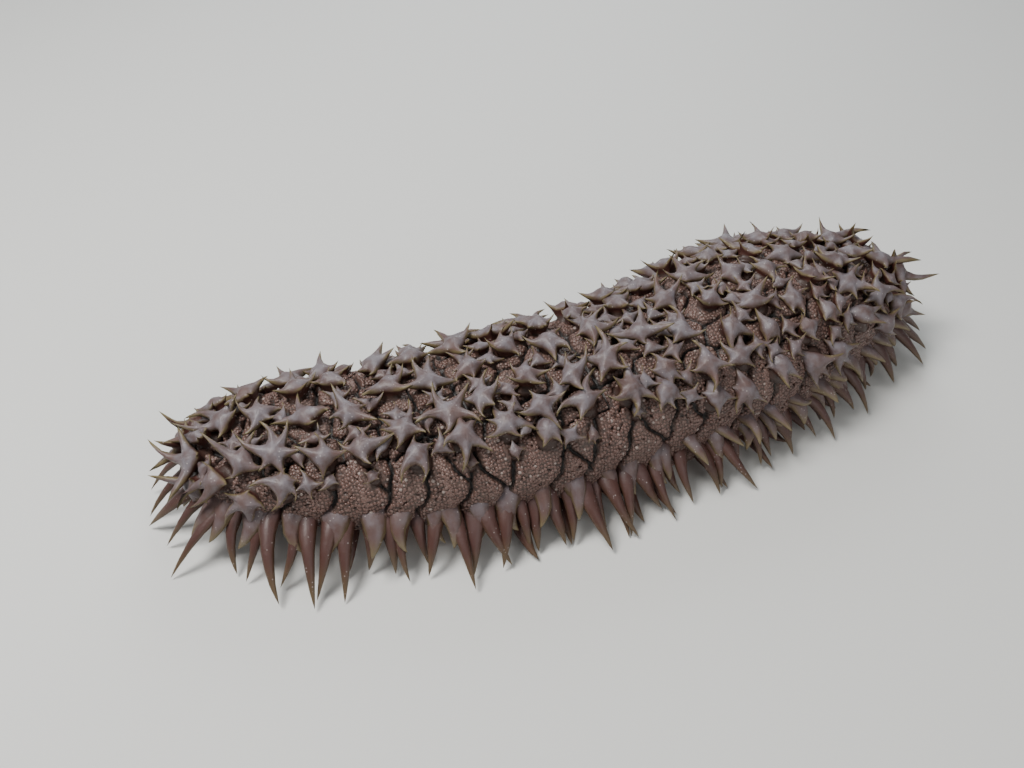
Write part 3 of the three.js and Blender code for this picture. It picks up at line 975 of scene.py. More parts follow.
    def sample(self, grid: np.ndarray, u: np.ndarray, v: np.ndarray) -> np.ndarray:
        """Values of a grid between its points.

        Args:
            grid: The grid, rings by angles.
            u: Places along the rings, from 0 to 1.
            v: Places round them, from 0 to 1.

        Returns:
            One value for each place.
        """
        i, j = u * self.rings, v * self.around
        a = np.minimum(i.astype(int), self.rings - 1)
        b = np.minimum(j.astype(int), self.around - 1)
        fi, fj = i - a, j - b
        if grid.ndim == 3:
            fi, fj = fi[:, None], fj[:, None]
        near = grid[a, b] * (1 - fj) + grid[a, b + 1] * fj
        far = grid[a + 1, b] * (1 - fj) + grid[a + 1, b + 1] * fj
        return near * (1 - fi) + far * fi

    def build(self) -> bpy.types.Object:
        """Rolls a grid over the surface and welds its seam and ends.

        Returns:
            The skin.
        """
        bm = bmesh.new()
        layer = bm.loops.layers.uv.new(BAKE_MAP)
        bmesh.ops.create_grid(bm, x_segments=self.rings, y_segments=self.around, size=0.5)
        for face in bm.faces:
            for loop in face.loops:
                loop[layer].uv = (loop.vert.co.x + 0.5, loop.vert.co.y + 0.5)
        tones = np.array([chance(n, 3, 5) for n in range(int(self.cell.max()) + 1)])
        grids = {
            # crease and deep lead the finish's painted shade in creases and valleys
            "crease": self.crease,
            "tone": tones[self.cell],
            "open": self.open,
            # Leads the finish's painted shade inside the mouth hollow
            "inside": self.inside,
            "deep": self.valley * self.open,
        }
        marks = [(bm.verts.layers.float.new(name), grid) for name, grid in grids.items()]
        for vert in bm.verts:
            i = round((vert.co.x + 0.5) * self.rings)
            j = round((vert.co.y + 0.5) * self.around)
            for mark, grid in marks:
                vert[mark] = grid[i, j]
            vert.co = Vector((self.points[i, j] - MIDDLE) / 1000)
        bmesh.ops.remove_doubles(bm, verts=bm.verts, dist=1e-6)
        bmesh.ops.recalc_face_normals(bm, faces=bm.faces)
        mesh = mesh_of(bm, "skin")
        mesh.shade_smooth()
        return linked("skin", mesh)


@dataclass
class Pebbles:
    """The small rounded grains that cover the skin between the papillae."""

    skin: Skin
    spacing: float = 2.12
    height: float = 0.42
    columns: int = 6
    jitter: float = 0.28
    clear_of_papillae: float = 6.2
    patch: float = 0.003

    def build(self) -> list[bpy.types.Object]:
        """Sets the grains in rings over the skin and joins them in pieces.

        Returns:
            The pieces, front to rear.
        """
        dome, angle = Tube(self.columns, 3), ring_angles(self.columns)[:, None]
        batches = [Batch(), Batch(), Batch()]
        skin = self.skin
        walked = walk(skin.points[:, skin.around // 2])
        bands = int(walked[-1] / (self.spacing * 0.87))
        roots = np.array([s.seat.root for span in LAYOUT.spans() for s in LAYOUT.stars(span)])
        # Height up a grain: the finish paints shade at its foot and a highlight on its top
        rise = np.array([0.0, 0.0, 0.7, 1.0])
        whole_ring = even(skin.around + 1)
        for band in range(2, bands - 1):
            u = float(np.interp((band + 0.5) / bands * walked[-1], walked, even(len(walked))))
            round_it = walk(skin.sample(skin.points, np.full(skin.around + 1, u), whole_ring))
            count = max(3, int(round_it[-1] / self.spacing))
            shift = np.array([[swing(band, i, 2), swing(band, i, 3)] for i in range(count)])
            shift *= self.jitter
            places = (np.arange(count) + 0.5 * (band % 2) + shift[:, 0]) / count
            v = np.interp(places % 1.0 * round_it[-1], round_it, whole_ring)
            us = np.clip(u + shift[:, 1] / bands, 0.0, 1.0)
            grids = (skin.points, skin.final_normal, skin.crease, skin.open, skin.valley)
            points, normals, crease, above, deep = (skin.sample(g, us, v) for g in grids)
            normals = unit(normals)
            for i in np.flatnonzero((crease < 0.22) & (above > 0.5)):
                point, normal = points[i], normals[i]
                if np.linalg.norm(roots - point, axis=1).min() < self.clear_of_papillae:
                    continue
                size = chance(band, i, 4) ** 1.3 + 0.25 * (chance(band, i, 5) > 0.93)
                radius = (0.88 + 0.54 * size) * (1 - 0.5 * crease[i])
                high = self.height * (0.7 + 0.6 * size)
                first = unit(np.cross(normal, (0.31, 0.77, 0.55)))
                second = np.cross(normal, first)
                ring = np.cos(angle) * first + np.sin(angle) * second
                rings = (
                    (0.0, -0.5),
                    (1.08 * radius, -0.4),
                    (0.7 * radius, 0.68 * high),
                    (0.0, high),
                )
                shape = point + np.stack([out * ring + up * normal for out, up in rings], axis=1)
                batch = batches[min(2, int(3 * us[i]))]
                # deep is the valley depth, which the finish darkens as painted shade
                marks = {"rise": rise, "tone": chance(band, i, 9), "deep": deep[i]}
                batch.add(dome, shape, (us[i], v[i], self.patch), **marks)
        return [batch.build(f"pebbles_{i + 1}") for i, batch in enumerate(batches)]


@dataclass
class Papillae:
    """The star papillae of one length: a flared stalk, webbed arms and a domed crown."""

    skin: Skin
    span: Span
    web: float = 5.7
    half_angle: float = 0.275
    patch: float = 0.03
    steps: tuple[float, ...] = (0.0, 0.075, 0.22, 0.5, 0.78, 0.925)

    def outline(self, star: Star) -> tuple[np.ndarray, ...]:
        """The outline of a star in plan, six columns an arm.

        Args:
            star: The star.

        Returns:
            Angle, radius, and the nearest arm's reach, tip, curl and share of tip colour.
        """
        arms = sorted(star.arms, key=lambda arm: arm.angle % (2 * math.pi))
        rows = []
        for i, arm in enumerate(arms):
            after = arms[(i + 1) % len(arms)]
            gap = (after.angle - arm.angle) % (2 * math.pi) or 2 * math.pi
            for step in self.steps:
                near = arm if step < 0.5 else after
                radii = [self.web * star.scale]
                for one, off in ((arm, step * gap), (after, (1 - step) * gap)):
                    half = self.half_angle * one.width * min(1.0, 15.0 / one.reach)
                    off = min(off, math.pi / 2)
                    radii.append(one.reach * math.sin(half) / math.sin(half + off))
                radius = sum(r**7 for r in radii) ** (1 / 7)
                radius = min(radius, max(arm.reach, after.reach))
                tip = near.tip if step != 0.5 else 0.5 * (arm.tip + after.tip)
                paint = 1.0 if near.width < 1.1 else 0.3
                rows.append((arm.angle + step * gap, radius, near.reach, tip, near.curl, paint))
        return tuple(np.array(column) for column in zip(*rows))

    def shape(self, star: Star) -> tuple[np.ndarray, np.ndarray, np.ndarray]:
        """The surface of one star.

        Args:
            star: The star.

        Returns:
            Its points, how far each is out along an arm, and whether it looks upwards.
        """
        angle, radius, reach, tip, curl, paint = self.outline(star)
        high, scale, seat = star.height, star.scale, star.seat
        middle = 0.72 * high
        spread = math.tan(self.half_angle)
        core, crown = 0.7 * self.web * scale, 1.3 * self.web * scale

        def at(out: np.ndarray, share: Any, way: float) -> tuple[np.ndarray, ...]:
            """Height of the surface, how far along an arm it is, and the arm's middle there.

            Args:
                out: Distances from the axis.
                share: The same as shares of the outline.
                way: 1 over the middle of the arm, and below 0 under it.

            Returns:
                The three, one number a column.
            """
            along = np.clip((out - core) / np.maximum(reach - core, 1.0), 0.0, 1.0)
            level = middle + (tip - middle) * along**1.4
            thick = np.minimum((reach - out) * spread * 1.2, 2.9 * scale)
            inward = np.clip((1 - share) / np.maximum(1 - share * radius / reach, 1e-6), 0.0, 1.0)
            across = np.sqrt(inward * (2 - inward))
            dome = 2.6 * scale * np.clip(1 - (out / crown) ** 2, 0.0, 1.0) ** 1.3
            return level + way * thick * across + dome * (way > 0), along, level

        ones = np.ones_like(radius)
        sections = [
            (out * scale, height, 0.0, 0.0)
            for out, height in ((0.0, -2.4), (8.8, -1.9), (6.9, 0.1), (5.4, 0.24 * high + 0.3))
        ]
        stalk = 4.9 * scale
        for share in (0.45, 0.8):
            out = stalk + (np.maximum(radius, stalk + 0.3) - stalk) * share
            height, along, level = at(out, np.minimum(out / radius, 1.0), -0.85)
            lowest = np.minimum(0.2 * high + 0.9, level - 0.3)
            sections.append((out, np.maximum(height, lowest), along, 0.15))
        edge = ((1.0, 0.5), (0.9, 0.75))
        for share, top in (*edge, (0.72, 1.0), (0.5, 1.0), (0.25, 1.0), (0.0, 1.0)):
            out = share * radius
            height, along, _ = at(out, share, 1.0)
            sections.append((out, height, along, top))
        out, height, along, top = (
            np.stack([part * ones for part in parts], axis=1) for parts in zip(*sections)
        )
        bent = (angle[:, None] + curl[:, None] * along**2)[..., None]
        heading = np.cos(bent) * seat.tangent + np.sin(bent) * seat.side
        points = seat.root + out[..., None] * heading
        lumps = np.where(top > 0.4, 0.55, 0.3) * noise_at(points, 4.2, 5.0 + star.tone)
        points = points + (height + lumps * (1 - 0.6 * along))[..., None] * seat.normal
        return points, along * paint[:, None], top

    def small_ones(self, stars: list[Star]) -> list[Star]:
        """Small thorns between the stars, which grow where a wide gap is left.

        Args:
            stars: The stars of the length.

        Returns:
            The thorns.
        """
        found = []
        for i, star in enumerate(stars):
            for j, other in enumerate(stars[i + 1 :], i + 1):
                apart = np.linalg.norm(star.seat.root - other.seat.root)
                side_on = abs(math.cos(0.5 * (star.turn + other.turn)))
                if not 19.0 < apart < 30.0 or side_on > 0.86:
                    continue
                if BODY.along(star.x) < 0.1 and chance(i, j, 71) < 0.4:
                    continue
                x = 0.5 * (star.x + other.x) + 1.5 * swing(i, j, 72)
                turn = 0.5 * (star.turn + other.turn) + 0.04 * swing(i, j, 73)
                seat = BODY.seat(x, turn)
                if min(np.linalg.norm(seat.root - s.seat.root) for s in [*stars, *found]) < 9.4:
                    continue
                count = 3 + int(2 * chance(i, j, 74))
                phase = 2 * math.pi * chance(i, j, 75)
                arms = []
                for k in range(count):
                    angle = phase + 2 * math.pi * (k + 0.2 * swing(i, j, 80 + k)) / count
                    tip = 6.4 + 2.4 * swing(i, j, 95 + k)
                    arms.append(Arm(angle, 7.6 + 2.6 * chance(i, j, 90 + k), tip, 0.2))
                found.append(Star(seat, x, turn, 5.2, tuple(arms), chance(i, j, 76), 3.1))
        return found

    def build(self) -> bpy.types.Object:
        """Makes the stars of the length and joins them.

        Returns:
            The piece.
        """
        batch = Batch()
        stars = LAYOUT.stars(self.span)
        tubes = {count: Tube(len(self.steps) * count, 11) for count in range(3, 7)}
        for star in [*stars, *self.small_ones(stars)]:
            points, along, top = self.shape(star)
            tube = tubes[len(star.arms)]
            u, v = self.skin.place_in_map(star.x, star.turn)
            size = self.patch if star.scale > 0.8 else 0.4 * self.patch
            # top is 1 on the upper surface and 0 under it, where the finish lays painted shade
            marks = {"along": along, "top": top, "tone": star.tone, "grey": 1.0}
            batch.add(tube, points, (u, v, size), **marks)
        return batch.build(f"papillae_{LENGTH_NAMES[self.span.index]}")


@dataclass
class Fringe:
    """The long tapering fingers round the margin of one length."""

    skin: Skin
    span: Span
    columns: int = 8
    flatness: float = 0.74
    clearance: float = 0.3
    patch: float = 0.011
    profile: tuple[tuple[float, float], ...] = (
        (0.0, 0.0), (0.0, 1.7), (0.1, 1.68), (0.22, 1.5), (0.38, 1.22),
        (0.54, 0.97), (0.7, 0.72), (0.84, 0.45), (0.94, 0.21), (1.0, 0.0),
    )

    def shape(self, finger: Finger) -> tuple[np.ndarray, np.ndarray]:
        """The surface of one finger, bent through its middle.

        Args:
            finger: The finger.

        Returns:
            Its points, and how far along it each is.
        """
        shares, widths = np.array(self.profile).T
        bow = 2 * finger.middle - 0.5 * (finger.root + finger.tip)
        s = shares[:, None]
        line = (1 - s) ** 2 * finger.root + 2 * s * (1 - s) * bow + s * s * finger.tip
        line = line + finger.hook * (s - 0.5).clip(0.0) ** 2 * 4
        axis = unit(np.gradient(line[1:], shares[1:], axis=0))
        axis = np.concatenate([axis[:1], axis])
        across = unit(np.cross(axis, (0.0, 0.0, 1.0)))
        over = np.cross(across, axis)
        angle = ring_angles(self.columns)[:, None, None]
        ring = np.cos(angle) * across[None] + self.flatness * np.sin(angle) * over[None]
        wave = 1 + 0.2 * noise_at(line[None] + finger.radius * ring, 5.0, finger.tone)[..., None]
        points = line[None] + (widths * finger.radius)[None, :, None] * ring * wave
        points[..., 2] = np.maximum(points[..., 2], self.clearance)
        return points, shares

    def build(self) -> bpy.types.Object:
        """Makes the fingers of every layer and joins them.

        Returns:
            The piece.
        """
        batch, tube = Batch(), Tube(self.columns, len(self.profile) - 1)
        # 1 on a finger's upper side and 0 on its lower side, where the finish lays painted shade
        top = 0.5 + 0.5 * np.sin(ring_angles(self.columns))[:, None]
        for kind in FringeKind:
            layer = kind.value
            for finger in LAYOUT.fringe(self.span, kind):
                points, along = self.shape(finger)
                u, v = self.skin.place_in_map(*finger.place)
                v += layer.map_shift if v > 0.5 else -layer.map_shift
                marks = {"along": along, "top": top, "tone": finger.tone, "grey": layer.grey}
                batch.add(tube, points, (u, v, self.patch), **marks)
        return batch.build(f"fringe_{LENGTH_NAMES[self.span.index]}")


@dataclass
class TubeFeet:
    """The feet under the sole: soft stalks that end in small flat suckers on the floor."""

    skin: Skin
    columns: int = 11
    sides: int = 9
    spacing: float = 7.6
    patch: float = 0.006
    sucker: tuple[tuple[float, float], ...] = (
        (1.2, 1.6), (1.95, 0.75), (2.1, 0.3), (1.85, 0.0), (0.0, 0.0),
    )

    def build(self) -> bpy.types.Object:
        """Makes the feet in shifted rows and joins them.

        Returns:
            The piece.
        """
        batch, tube = Batch(), Tube(self.sides, 8)
        rows = int(2 * FEET_REACH / self.spacing)
        for row in range(rows):
            for column in range(self.columns):
                place = row + 0.5 + 0.3 * swing(row, column, 1)
                x = -FEET_REACH + 2 * FEET_REACH * place / rows
                shifted = column + 0.5 + (0.25 if row % 2 else -0.25)
                across = (2 * shifted / self.columns - 1) * 0.97
                across += 0.05 * swing(row, column, 2)
                y = across * float(BODY.sole_edge(x)) + float(BODY.middle_at(x))
                top = 5.2 + 2.5 * across**4 + float(sole_lift(x))
                size = 0.85 + 0.3 * chance(row, column, 3)
                lean = np.array([0.8 * swing(row, column, 4), 0.8 * swing(row, column, 5), 0.0])
                neck = ((0.0, top), (1.75, top), (1.3, top - 1.7), (1.12, 0.5 * top))
                radii, levels = np.array([*neck, *self.sucker]).T
                radii = np.broadcast_to(size * radii, (self.sides, len(radii)))
                shape = lathe(np.array([x, y]), radii, levels) + lean * (levels / top)[:, None]
                u, v = self.skin.place_in_map(x, -math.pi / 2 + 0.9 * across)
                marks = {"along": even(len(levels)), "tone": chance(row, column, 6)}
                batch.add(tube, shape, (u, v, self.patch), **marks)
        return batch.build("tube_feet")


@dataclass
class Mouth:
    """The mouth under the front end: a folded dome with rings of frilled tentacles."""

    rings: tuple[tuple[float, int, float], ...] = ((10.5, 8, 3.0), (17.0, 12, 1.5))
    roof: tuple[tuple[float, float], ...] = (
        (0.0, 30.5), (10.0, 29.2), (17.5, 25.8), (21.3, 21.6), (20.6, 20.4), (16.0, 20.9),
        (11.0, 20.2), (7.0, 18.6), (4.6, 17.6), (3.0, 18.4), (2.0, 21.0), (1.4, 24.0), (0.0, 24.4),
    )
    cap: tuple[tuple[float, float], ...] = (
        (1.3, 4.4), (1.8, 3.5), (2.9, 3.0), (3.3, 2.3), (3.2, 1.7), (2.7, 1.2),
        (2.2, 1.5), (1.7, 0.7), (1.1, 0.9), (0.6, 0.3), (0.0, 0.1),
    )

    def __post_init__(self) -> None:
        """Finds the middle of the mouth."""
        self.middle = np.array([MOUTH_X, float(BODY.middle_at(MOUTH_X))])

    def dome(self) -> bpy.types.Object:
        """The roof of the hollow, puckered round the mouth opening.

        Returns:
            The piece.
        """
        columns, batch = 40, Batch()
        pleat = np.cos(10 * ring_angles(columns))[:, None]
        radii, levels = np.array(self.roof).T
        steps = np.arange(len(levels))
        heights = levels + 0.5 * pleat * ((steps >= 3) & (steps <= 9))
        shape = lathe(self.middle, radii * (1 + 0.05 * pleat), heights)
        batch.add(Tube(columns, 12), shape, (0.25, 0.25, 0.2), along=even(len(levels)))
        return batch.build("mouth_dome")

    def tentacles(self) -> bpy.types.Object:
        """Twenty tentacles, each a stalk with a frilled cap.

        Returns:
            The piece.
        """
        columns, batch = 20, Batch()
        tube, angle = Tube(columns, 14), ring_angles(columns)[:, None]
        for number, (radius, count, foot) in enumerate(self.rings):
            for i in range(count):
                turn = 2 * math.pi * (i + 0.5 * number) / count
                reach = radius + 0.5 * swing(number, i, 80)
                low = foot + 3.5 * chance(number, i, 81)
                at = self.middle + reach * np.array([math.cos(turn), math.sin(turn)])
                stalk = ((0.0, 23.0), (1.7, 23.0), (1.5, 20.0), (1.35, 0.5 * (20 + low + 4)))
                cap = [(r, low + z) for r, z in self.cap]
                radii, levels = np.array([*stalk, *cap]).T
                steps = np.arange(len(levels))
                frill = np.where(steps > 4, 1 + 0.2 * np.cos(5 * angle + i), 1.0)
                heights = levels + 0.25 * np.cos(10 * angle) * ((steps > 6) & (steps < 13))
                spot = (0.6 + 0.07 * (i % 5), 0.2 + 0.07 * (i // 5 + 3 * number), 0.03)
                shape = lathe(at, radii * frill, heights)
                batch.add(tube, shape, spot, along=even(len(levels)))
        return batch.build("tentacles")


@dataclass
class Vent:
    """The opening at the rear: a puckered ring round a pit."""

    height: float = 36.2
    radii: tuple[float, float] = (12.0, 8.6)
    lips: tuple[tuple[float, float], ...] = (
        (0.0, -2.0), (1.0, -2.0), (1.02, 0.3), (0.99, 1.6), (0.9, 2.9), (0.78, 3.9), (0.64, 4.4),
        (0.5, 4.3), (0.38, 3.7), (0.28, 2.5), (0.2, 1.0), (0.15, -0.6), (0.12, -1.4), (0.08, -1.6),
        (0.0, -1.6),
    )

    def build(self) -> bpy.types.Object:
        """Makes the ring.

        Returns:
            The piece.
        """
        columns, batch = 48, Batch()
        angle = ring_angles(columns)[:, None]
        fold = np.cos(12 * angle)
        share, out = np.array(self.lips).T
        x = VENT_SEAT + GAP + out + 0.35 * fold * ((share > 0.15) & (share < 0.95))
        wide, high = (share * radius * (1 + 0.03 * fold) for radius in self.radii)
        y = float(BODY.middle_at(VENT_SEAT)) + wide * np.cos(angle)
        shape = np.stack([x, y, self.height + high * np.sin(angle)], axis=-1)
        batch.add(Tube(columns, 14), shape, (0.5, 0.5, 0.9), along=even(len(out)))
        return batch.build("vent_ring")


Colour = tuple[float, float, float]


class Wire:
    """A socket that takes part in arithmetic."""

    def __init__(self, nodes: "Nodes", socket: bpy.types.NodeSocket) -> None:
        """Wraps a socket of a node tree."""
        self.nodes, self.socket = nodes, socket

    def joined(self, operation: str, first: Any, second: Any) -> "Wire":
        """One Math node."""
        node = self.nodes.make("ShaderNodeMath", {"operation": operation}, {0: first, 1: second})
        return Wire(self.nodes, node.outputs[0])

    def __add__(self, other: Any) -> "Wire":
        """self + other."""
        return self.joined("ADD", self, other)

    __radd__ = __add__

    def __rsub__(self, other: Any) -> "Wire":
        """other - self."""
        return self.joined("SUBTRACT", other, self)

    def __mul__(self, other: Any) -> "Wire":
        """self * other."""
        return self.joined("MULTIPLY", self, other)

    def between(self, low: float, high: float) -> "Wire":
        """A smooth mask, 0 at low and 1 at high."""
        settings = {"interpolation_type": "SMOOTHSTEP"}
        sockets = {"Value": self, "From Min": low, "From Max": high}
        node = self.nodes.make("ShaderNodeMapRange", settings, sockets)
        return Wire(self.nodes, node.outputs["Result"])


class Nodes:
    """A material's node tree, from which a finish is built."""

    def __init__(self, name: str) -> None:
        """Makes a material with a plain surface shader."""
        self.material = bpy.data.materials.new(name)
        self.material.use_nodes = True
        self.tree = self.material.node_tree
        self.shader = self.tree.nodes["Principled BSDF"]

    def make(self, kind: str, settings: dict[str, Any], sockets: dict[Any, Any]) -> bpy.types.Node:
        """Adds a node.

        Args:
            kind: Its type.
            settings: Properties that are set first.
            sockets: Values or wires of its inputs, by name or number.

        Returns:
            The node.
        """
        node = self.tree.nodes.new(kind)
        for key, value in settings.items():
            setattr(node, key, value)
        for key, value in sockets.items():
            self.put(node.inputs[key], value)
        return node

    def put(self, socket: bpy.types.NodeSocket, value: Any) -> None:
        """Links a wire to a socket, or sets its value.

        Args:
            socket: An input.
            value: A wire, a number, or a colour.
        """
        if isinstance(value, Wire):
            self.tree.links.new(value.socket, socket)
        elif isinstance(value, tuple) and len(value) == 3 and socket.type == "RGBA":
            socket.default_value = (*value, 1.0)
        else:
            socket.default_value = value

    def places(self) -> Wire:
        """Object coordinates, in metres."""
        return Wire(self, self.make("ShaderNodeTexCoord", {}, {}).outputs["Object"])

    def mark(self, name: str) -> Wire:
        """An attribute of the mesh."""
        node = self.make("ShaderNodeAttribute", {"attribute_name": name}, {})
        return Wire(self, node.outputs["Fac"])

    def noise(self, size: float, detail: float = 3.0) -> Wire:
        """Noise with blotches of a size in millimetres."""
        place = self.places()
        sockets = {"Vector": place, "Scale": 1000 / size, "Detail": detail, "Roughness": 0.55}
        return Wire(self, self.make("ShaderNodeTexNoise", {}, sockets).outputs[0])

    def grains(self, size: float) -> Wire:
        """Distance from the middles of round grains of a size in millimetres."""
        sockets = {"Vector": self.places(), "Scale": 1000 / size, "Randomness": 0.85}
        node = self.make("ShaderNodeTexVoronoi", {"feature": "F1"}, sockets)
        return Wire(self, node.outputs["Distance"])

    def mix(self, share: Any, first: Any, second: Any) -> Wire:
        """A mix of two colours."""
        settings = {"data_type": "RGBA", "clamp_factor": True}
        node = self.make("ShaderNodeMix", settings, {0: share, 6: first, 7: second})
        return Wire(self, node.outputs[2])

    def bump(self, height: Wire, depth: float, strength: float = 1.0) -> Wire:
        """A bump of a depth in millimetres."""
        sockets = {"Height": height, "Distance": depth / 1000, "Strength": strength}
        return Wire(self, self.make("ShaderNodeBump", {}, sockets).outputs[0])

    def finish(
        self, colour: Any, roughness: Any, normal: Any, coat: float = 0.0, gloss: float = 0.5
    ) -> bpy.types.Material:
        """Links the surface and returns the material.

        Args:
            colour: Base colour.
            roughness: Roughness.
            normal: Normal from a bump.
            coat: Share of a wet coat.
            gloss: Specular level.

        Returns:
            The material.
        """
        values = {
            "Base Color": colour,
            "Roughness": roughness,
            "Normal": normal,
            "Coat Weight": coat,
            "Coat Roughness": 0.35,
            "Specular IOR Level": gloss,
        }
        for name, value in values.items():
            self.put(self.shader.inputs[name], value)
        return self.material


@dataclass(frozen=True)
class SkinFinish:
    """Brown pebbled skin, russet under the body, with painted shade in creases and hollows."""

    brown: Colour = (0.070, 0.035, 0.026)
    pale: Colour = (0.120, 0.076, 0.061)
    # Near-black painted shade, laid between the grains, in the valleys and in the creases
    crease: Colour = (0.005, 0.0025, 0.002)
    sole: Colour = (0.150, 0.055, 0.030)
    # Painted shade inside the hollow of the mouth
    throat: Colour = (0.030, 0.009, 0.007)

    def material(self) -> bpy.types.Material:
        """The material of the skin.

        Returns:
            The material.
        """
        n = Nodes("pebbled_skin")
        crease, tone, above, inside = (n.mark(k) for k in ("crease", "tone", "open", "inside"))
        blotch = n.noise(26.0, 4.0)
        ground = n.mix(blotch.between(0.35, 0.7) * 0.6 + tone * 0.4, self.brown, self.pale)
        grain = n.grains(1.6)
        # Painted shade in the gaps between the grains
        ground = n.mix(grain.between(0.35, 0.75) * 0.55, ground, self.crease)
        ground = n.mix(1 - above, ground, self.sole)
        # Painted shade in the valleys round each cell
        ground = n.mix(n.mark("deep").between(0.3, 0.85) * 0.6, ground, self.crease)
        # Painted shade in the creases
        ground = n.mix(crease.between(0.2, 0.7), ground, self.crease)
        # Painted shade inside the hollow of the mouth
        ground = n.mix(inside.between(0.02, 0.4), ground, self.throat)
        height = (1 - grain) * 0.8 + n.noise(0.9, 3.0) * 0.35
        rough = 0.46 + n.noise(5.0) * 0.2
        return n.finish(ground, rough, n.bump(height, 0.55, 0.9), 0.12, 0.45)


@dataclass(frozen=True)
class PebbleFinish:
    """Grains of the skin: painted highlight on top, painted shade at the foot and in valleys."""

    # Painted shade at the foot of a grain
    low: Colour = (0.086, 0.042, 0.032)
    # Colours of a grain's top, a painted highlight that is paler on some grains at random
    high: Colour = (0.120, 0.063, 0.050)
    pale: Colour = (0.188, 0.124, 0.104)
    # Painted shade in the valleys round the cells
    deep: Colour = (0.018, 0.009, 0.006)
    dot: Colour = (0.42, 0.37, 0.34)

    def material(self) -> bpy.types.Material:
        """The material of the pebbles.

        Returns:
            The material.
        """
        n = Nodes("skin_grains")
        rise, tone = n.mark("rise"), n.mark("tone")
        blotch = n.noise(24.0, 3.0)
        lighter = tone.between(0.55, 1.0) * 0.6 + blotch.between(0.4, 0.7) * 0.2
        top = n.mix(lighter, self.high, self.pale)
        # Painted shade at the foot of each grain and a painted highlight on its top
        colour = n.mix(rise.between(0.15, 1.0), self.low, top)
        # Painted shade in the valleys round the cells
        colour = n.mix(n.mark("deep").between(0.3, 0.85) * 0.65, colour, self.deep)
        colour = n.mix(tone.between(0.955, 0.975) * rise * 0.5, colour, self.dot)
        return n.finish(colour, 0.38 + tone * 0.14, n.bump(n.noise(0.5, 3.0), 0.15, 0.6), 0.2, 0.5)


@dataclass(frozen=True)
class PapillaFinish:
    """Smooth mauve-grey flesh, russet with painted shade below and at the root, olive tips."""

    top: Colour = (0.090, 0.056, 0.052)
    pale: Colour = (0.158, 0.142, 0.158)
    warm: Colour = (0.104, 0.054, 0.043)
    russet: Colour = (0.054, 0.017, 0.012)
    # Underside: russet of its own, darkened as painted shade
    under: Colour = (0.056, 0.018, 0.013)
    tip: Colour = (0.165, 0.132, 0.058)
    # Painted shade on the stalk under the web and at the foot of a finger
    root: Colour = (0.038, 0.018, 0.013)
    dot: Colour = (0.45, 0.40, 0.38)

    def material(self, name: str, along_root: float = 0.05) -> bpy.types.Material:
        """The material of the papillae.

        Args:
            name: Name of the material.
            along_root: How far along the painted shade at the root reaches.

        Returns:
            The material.
        """
        n = Nodes(name)
        along, top, tone, grey = (n.mark(k) for k in ("along", "top", "tone", "grey"))
        mottle, cloud = n.noise(6.0, 5.0), n.noise(17.0, 2.0)
        paler = mottle.between(0.34, 0.66) * 0.75 + tone * 0.25
        warmer = cloud.between(0.45, 0.72) * 0.5 + along.between(0.0, 0.7) * 0.4
        redder = (1 - grey) * (0.72 + along * 0.45 + mottle * 0.25)
        tipped = along.between(0.6, 1.0) * (0.2 + grey * 0.5 + mottle * 0.3)
        edge = top.between(0.2, 0.5) * (1 - top.between(0.55, 0.95)) * along.between(0.05, 0.5)
        # Painted shade at the root, under a star's web and at a finger's foot
        root_shade = (1 - top.between(0.02, 0.12)) * (1 - along.between(along_root, along_root + 0.1))
        speck = 1 - n.grains(2.1).between(0.10, 0.24)
        crown = n.mix(warmer, n.mix(paler, self.top, self.pale), self.warm)
        crown = n.mix(redder, crown, self.russet)
        # Underside russet, partly its own colour and partly painted shade
        colour = n.mix(top.between(0.3, 0.95), self.under, crown)
        colour = n.mix(tipped, colour, self.tip)
        colour = n.mix(edge * grey * 0.75, colour, self.tip)
        # Painted shade at the root
        colour = n.mix(root_shade, colour, self.root)
        colour = n.mix(speck * n.noise(6.0, 2.0).between(0.52, 0.6) * 0.55, colour, self.dot)
        height = n.noise(1.1, 4.0) * 0.7 + n.noise(3.5, 2.0) * 0.8 + speck * 0.25
        return n.finish(colour, 0.44 + mottle * 0.16, n.bump(height, 0.45, 0.7), 0.14, 0.4)


@dataclass(frozen=True)
class SoftFinish:
    """Moist flesh of one hue that darkens from end to end."""

    name: str
    start: Colour
    end: Colour

    def material(self) -> bpy.types.Material:
        """The material of the feet, tentacles, mouth or vent.

        Returns:
            The material.
        """
        n = Nodes(self.name)
        along = n.mark("along")
        colour = n.mix(along.between(0.1, 0.95), self.start, self.end)
        colour = n.mix(n.noise(3.0, 4.0).between(0.35, 0.75) * 0.4, colour, self.start)
        bump = n.bump(n.noise(0.8, 4.0), 0.25, 0.6)
        return n.finish(colour, 0.38 + n.noise(2.0) * 0.12, bump, 0.2, 0.45)


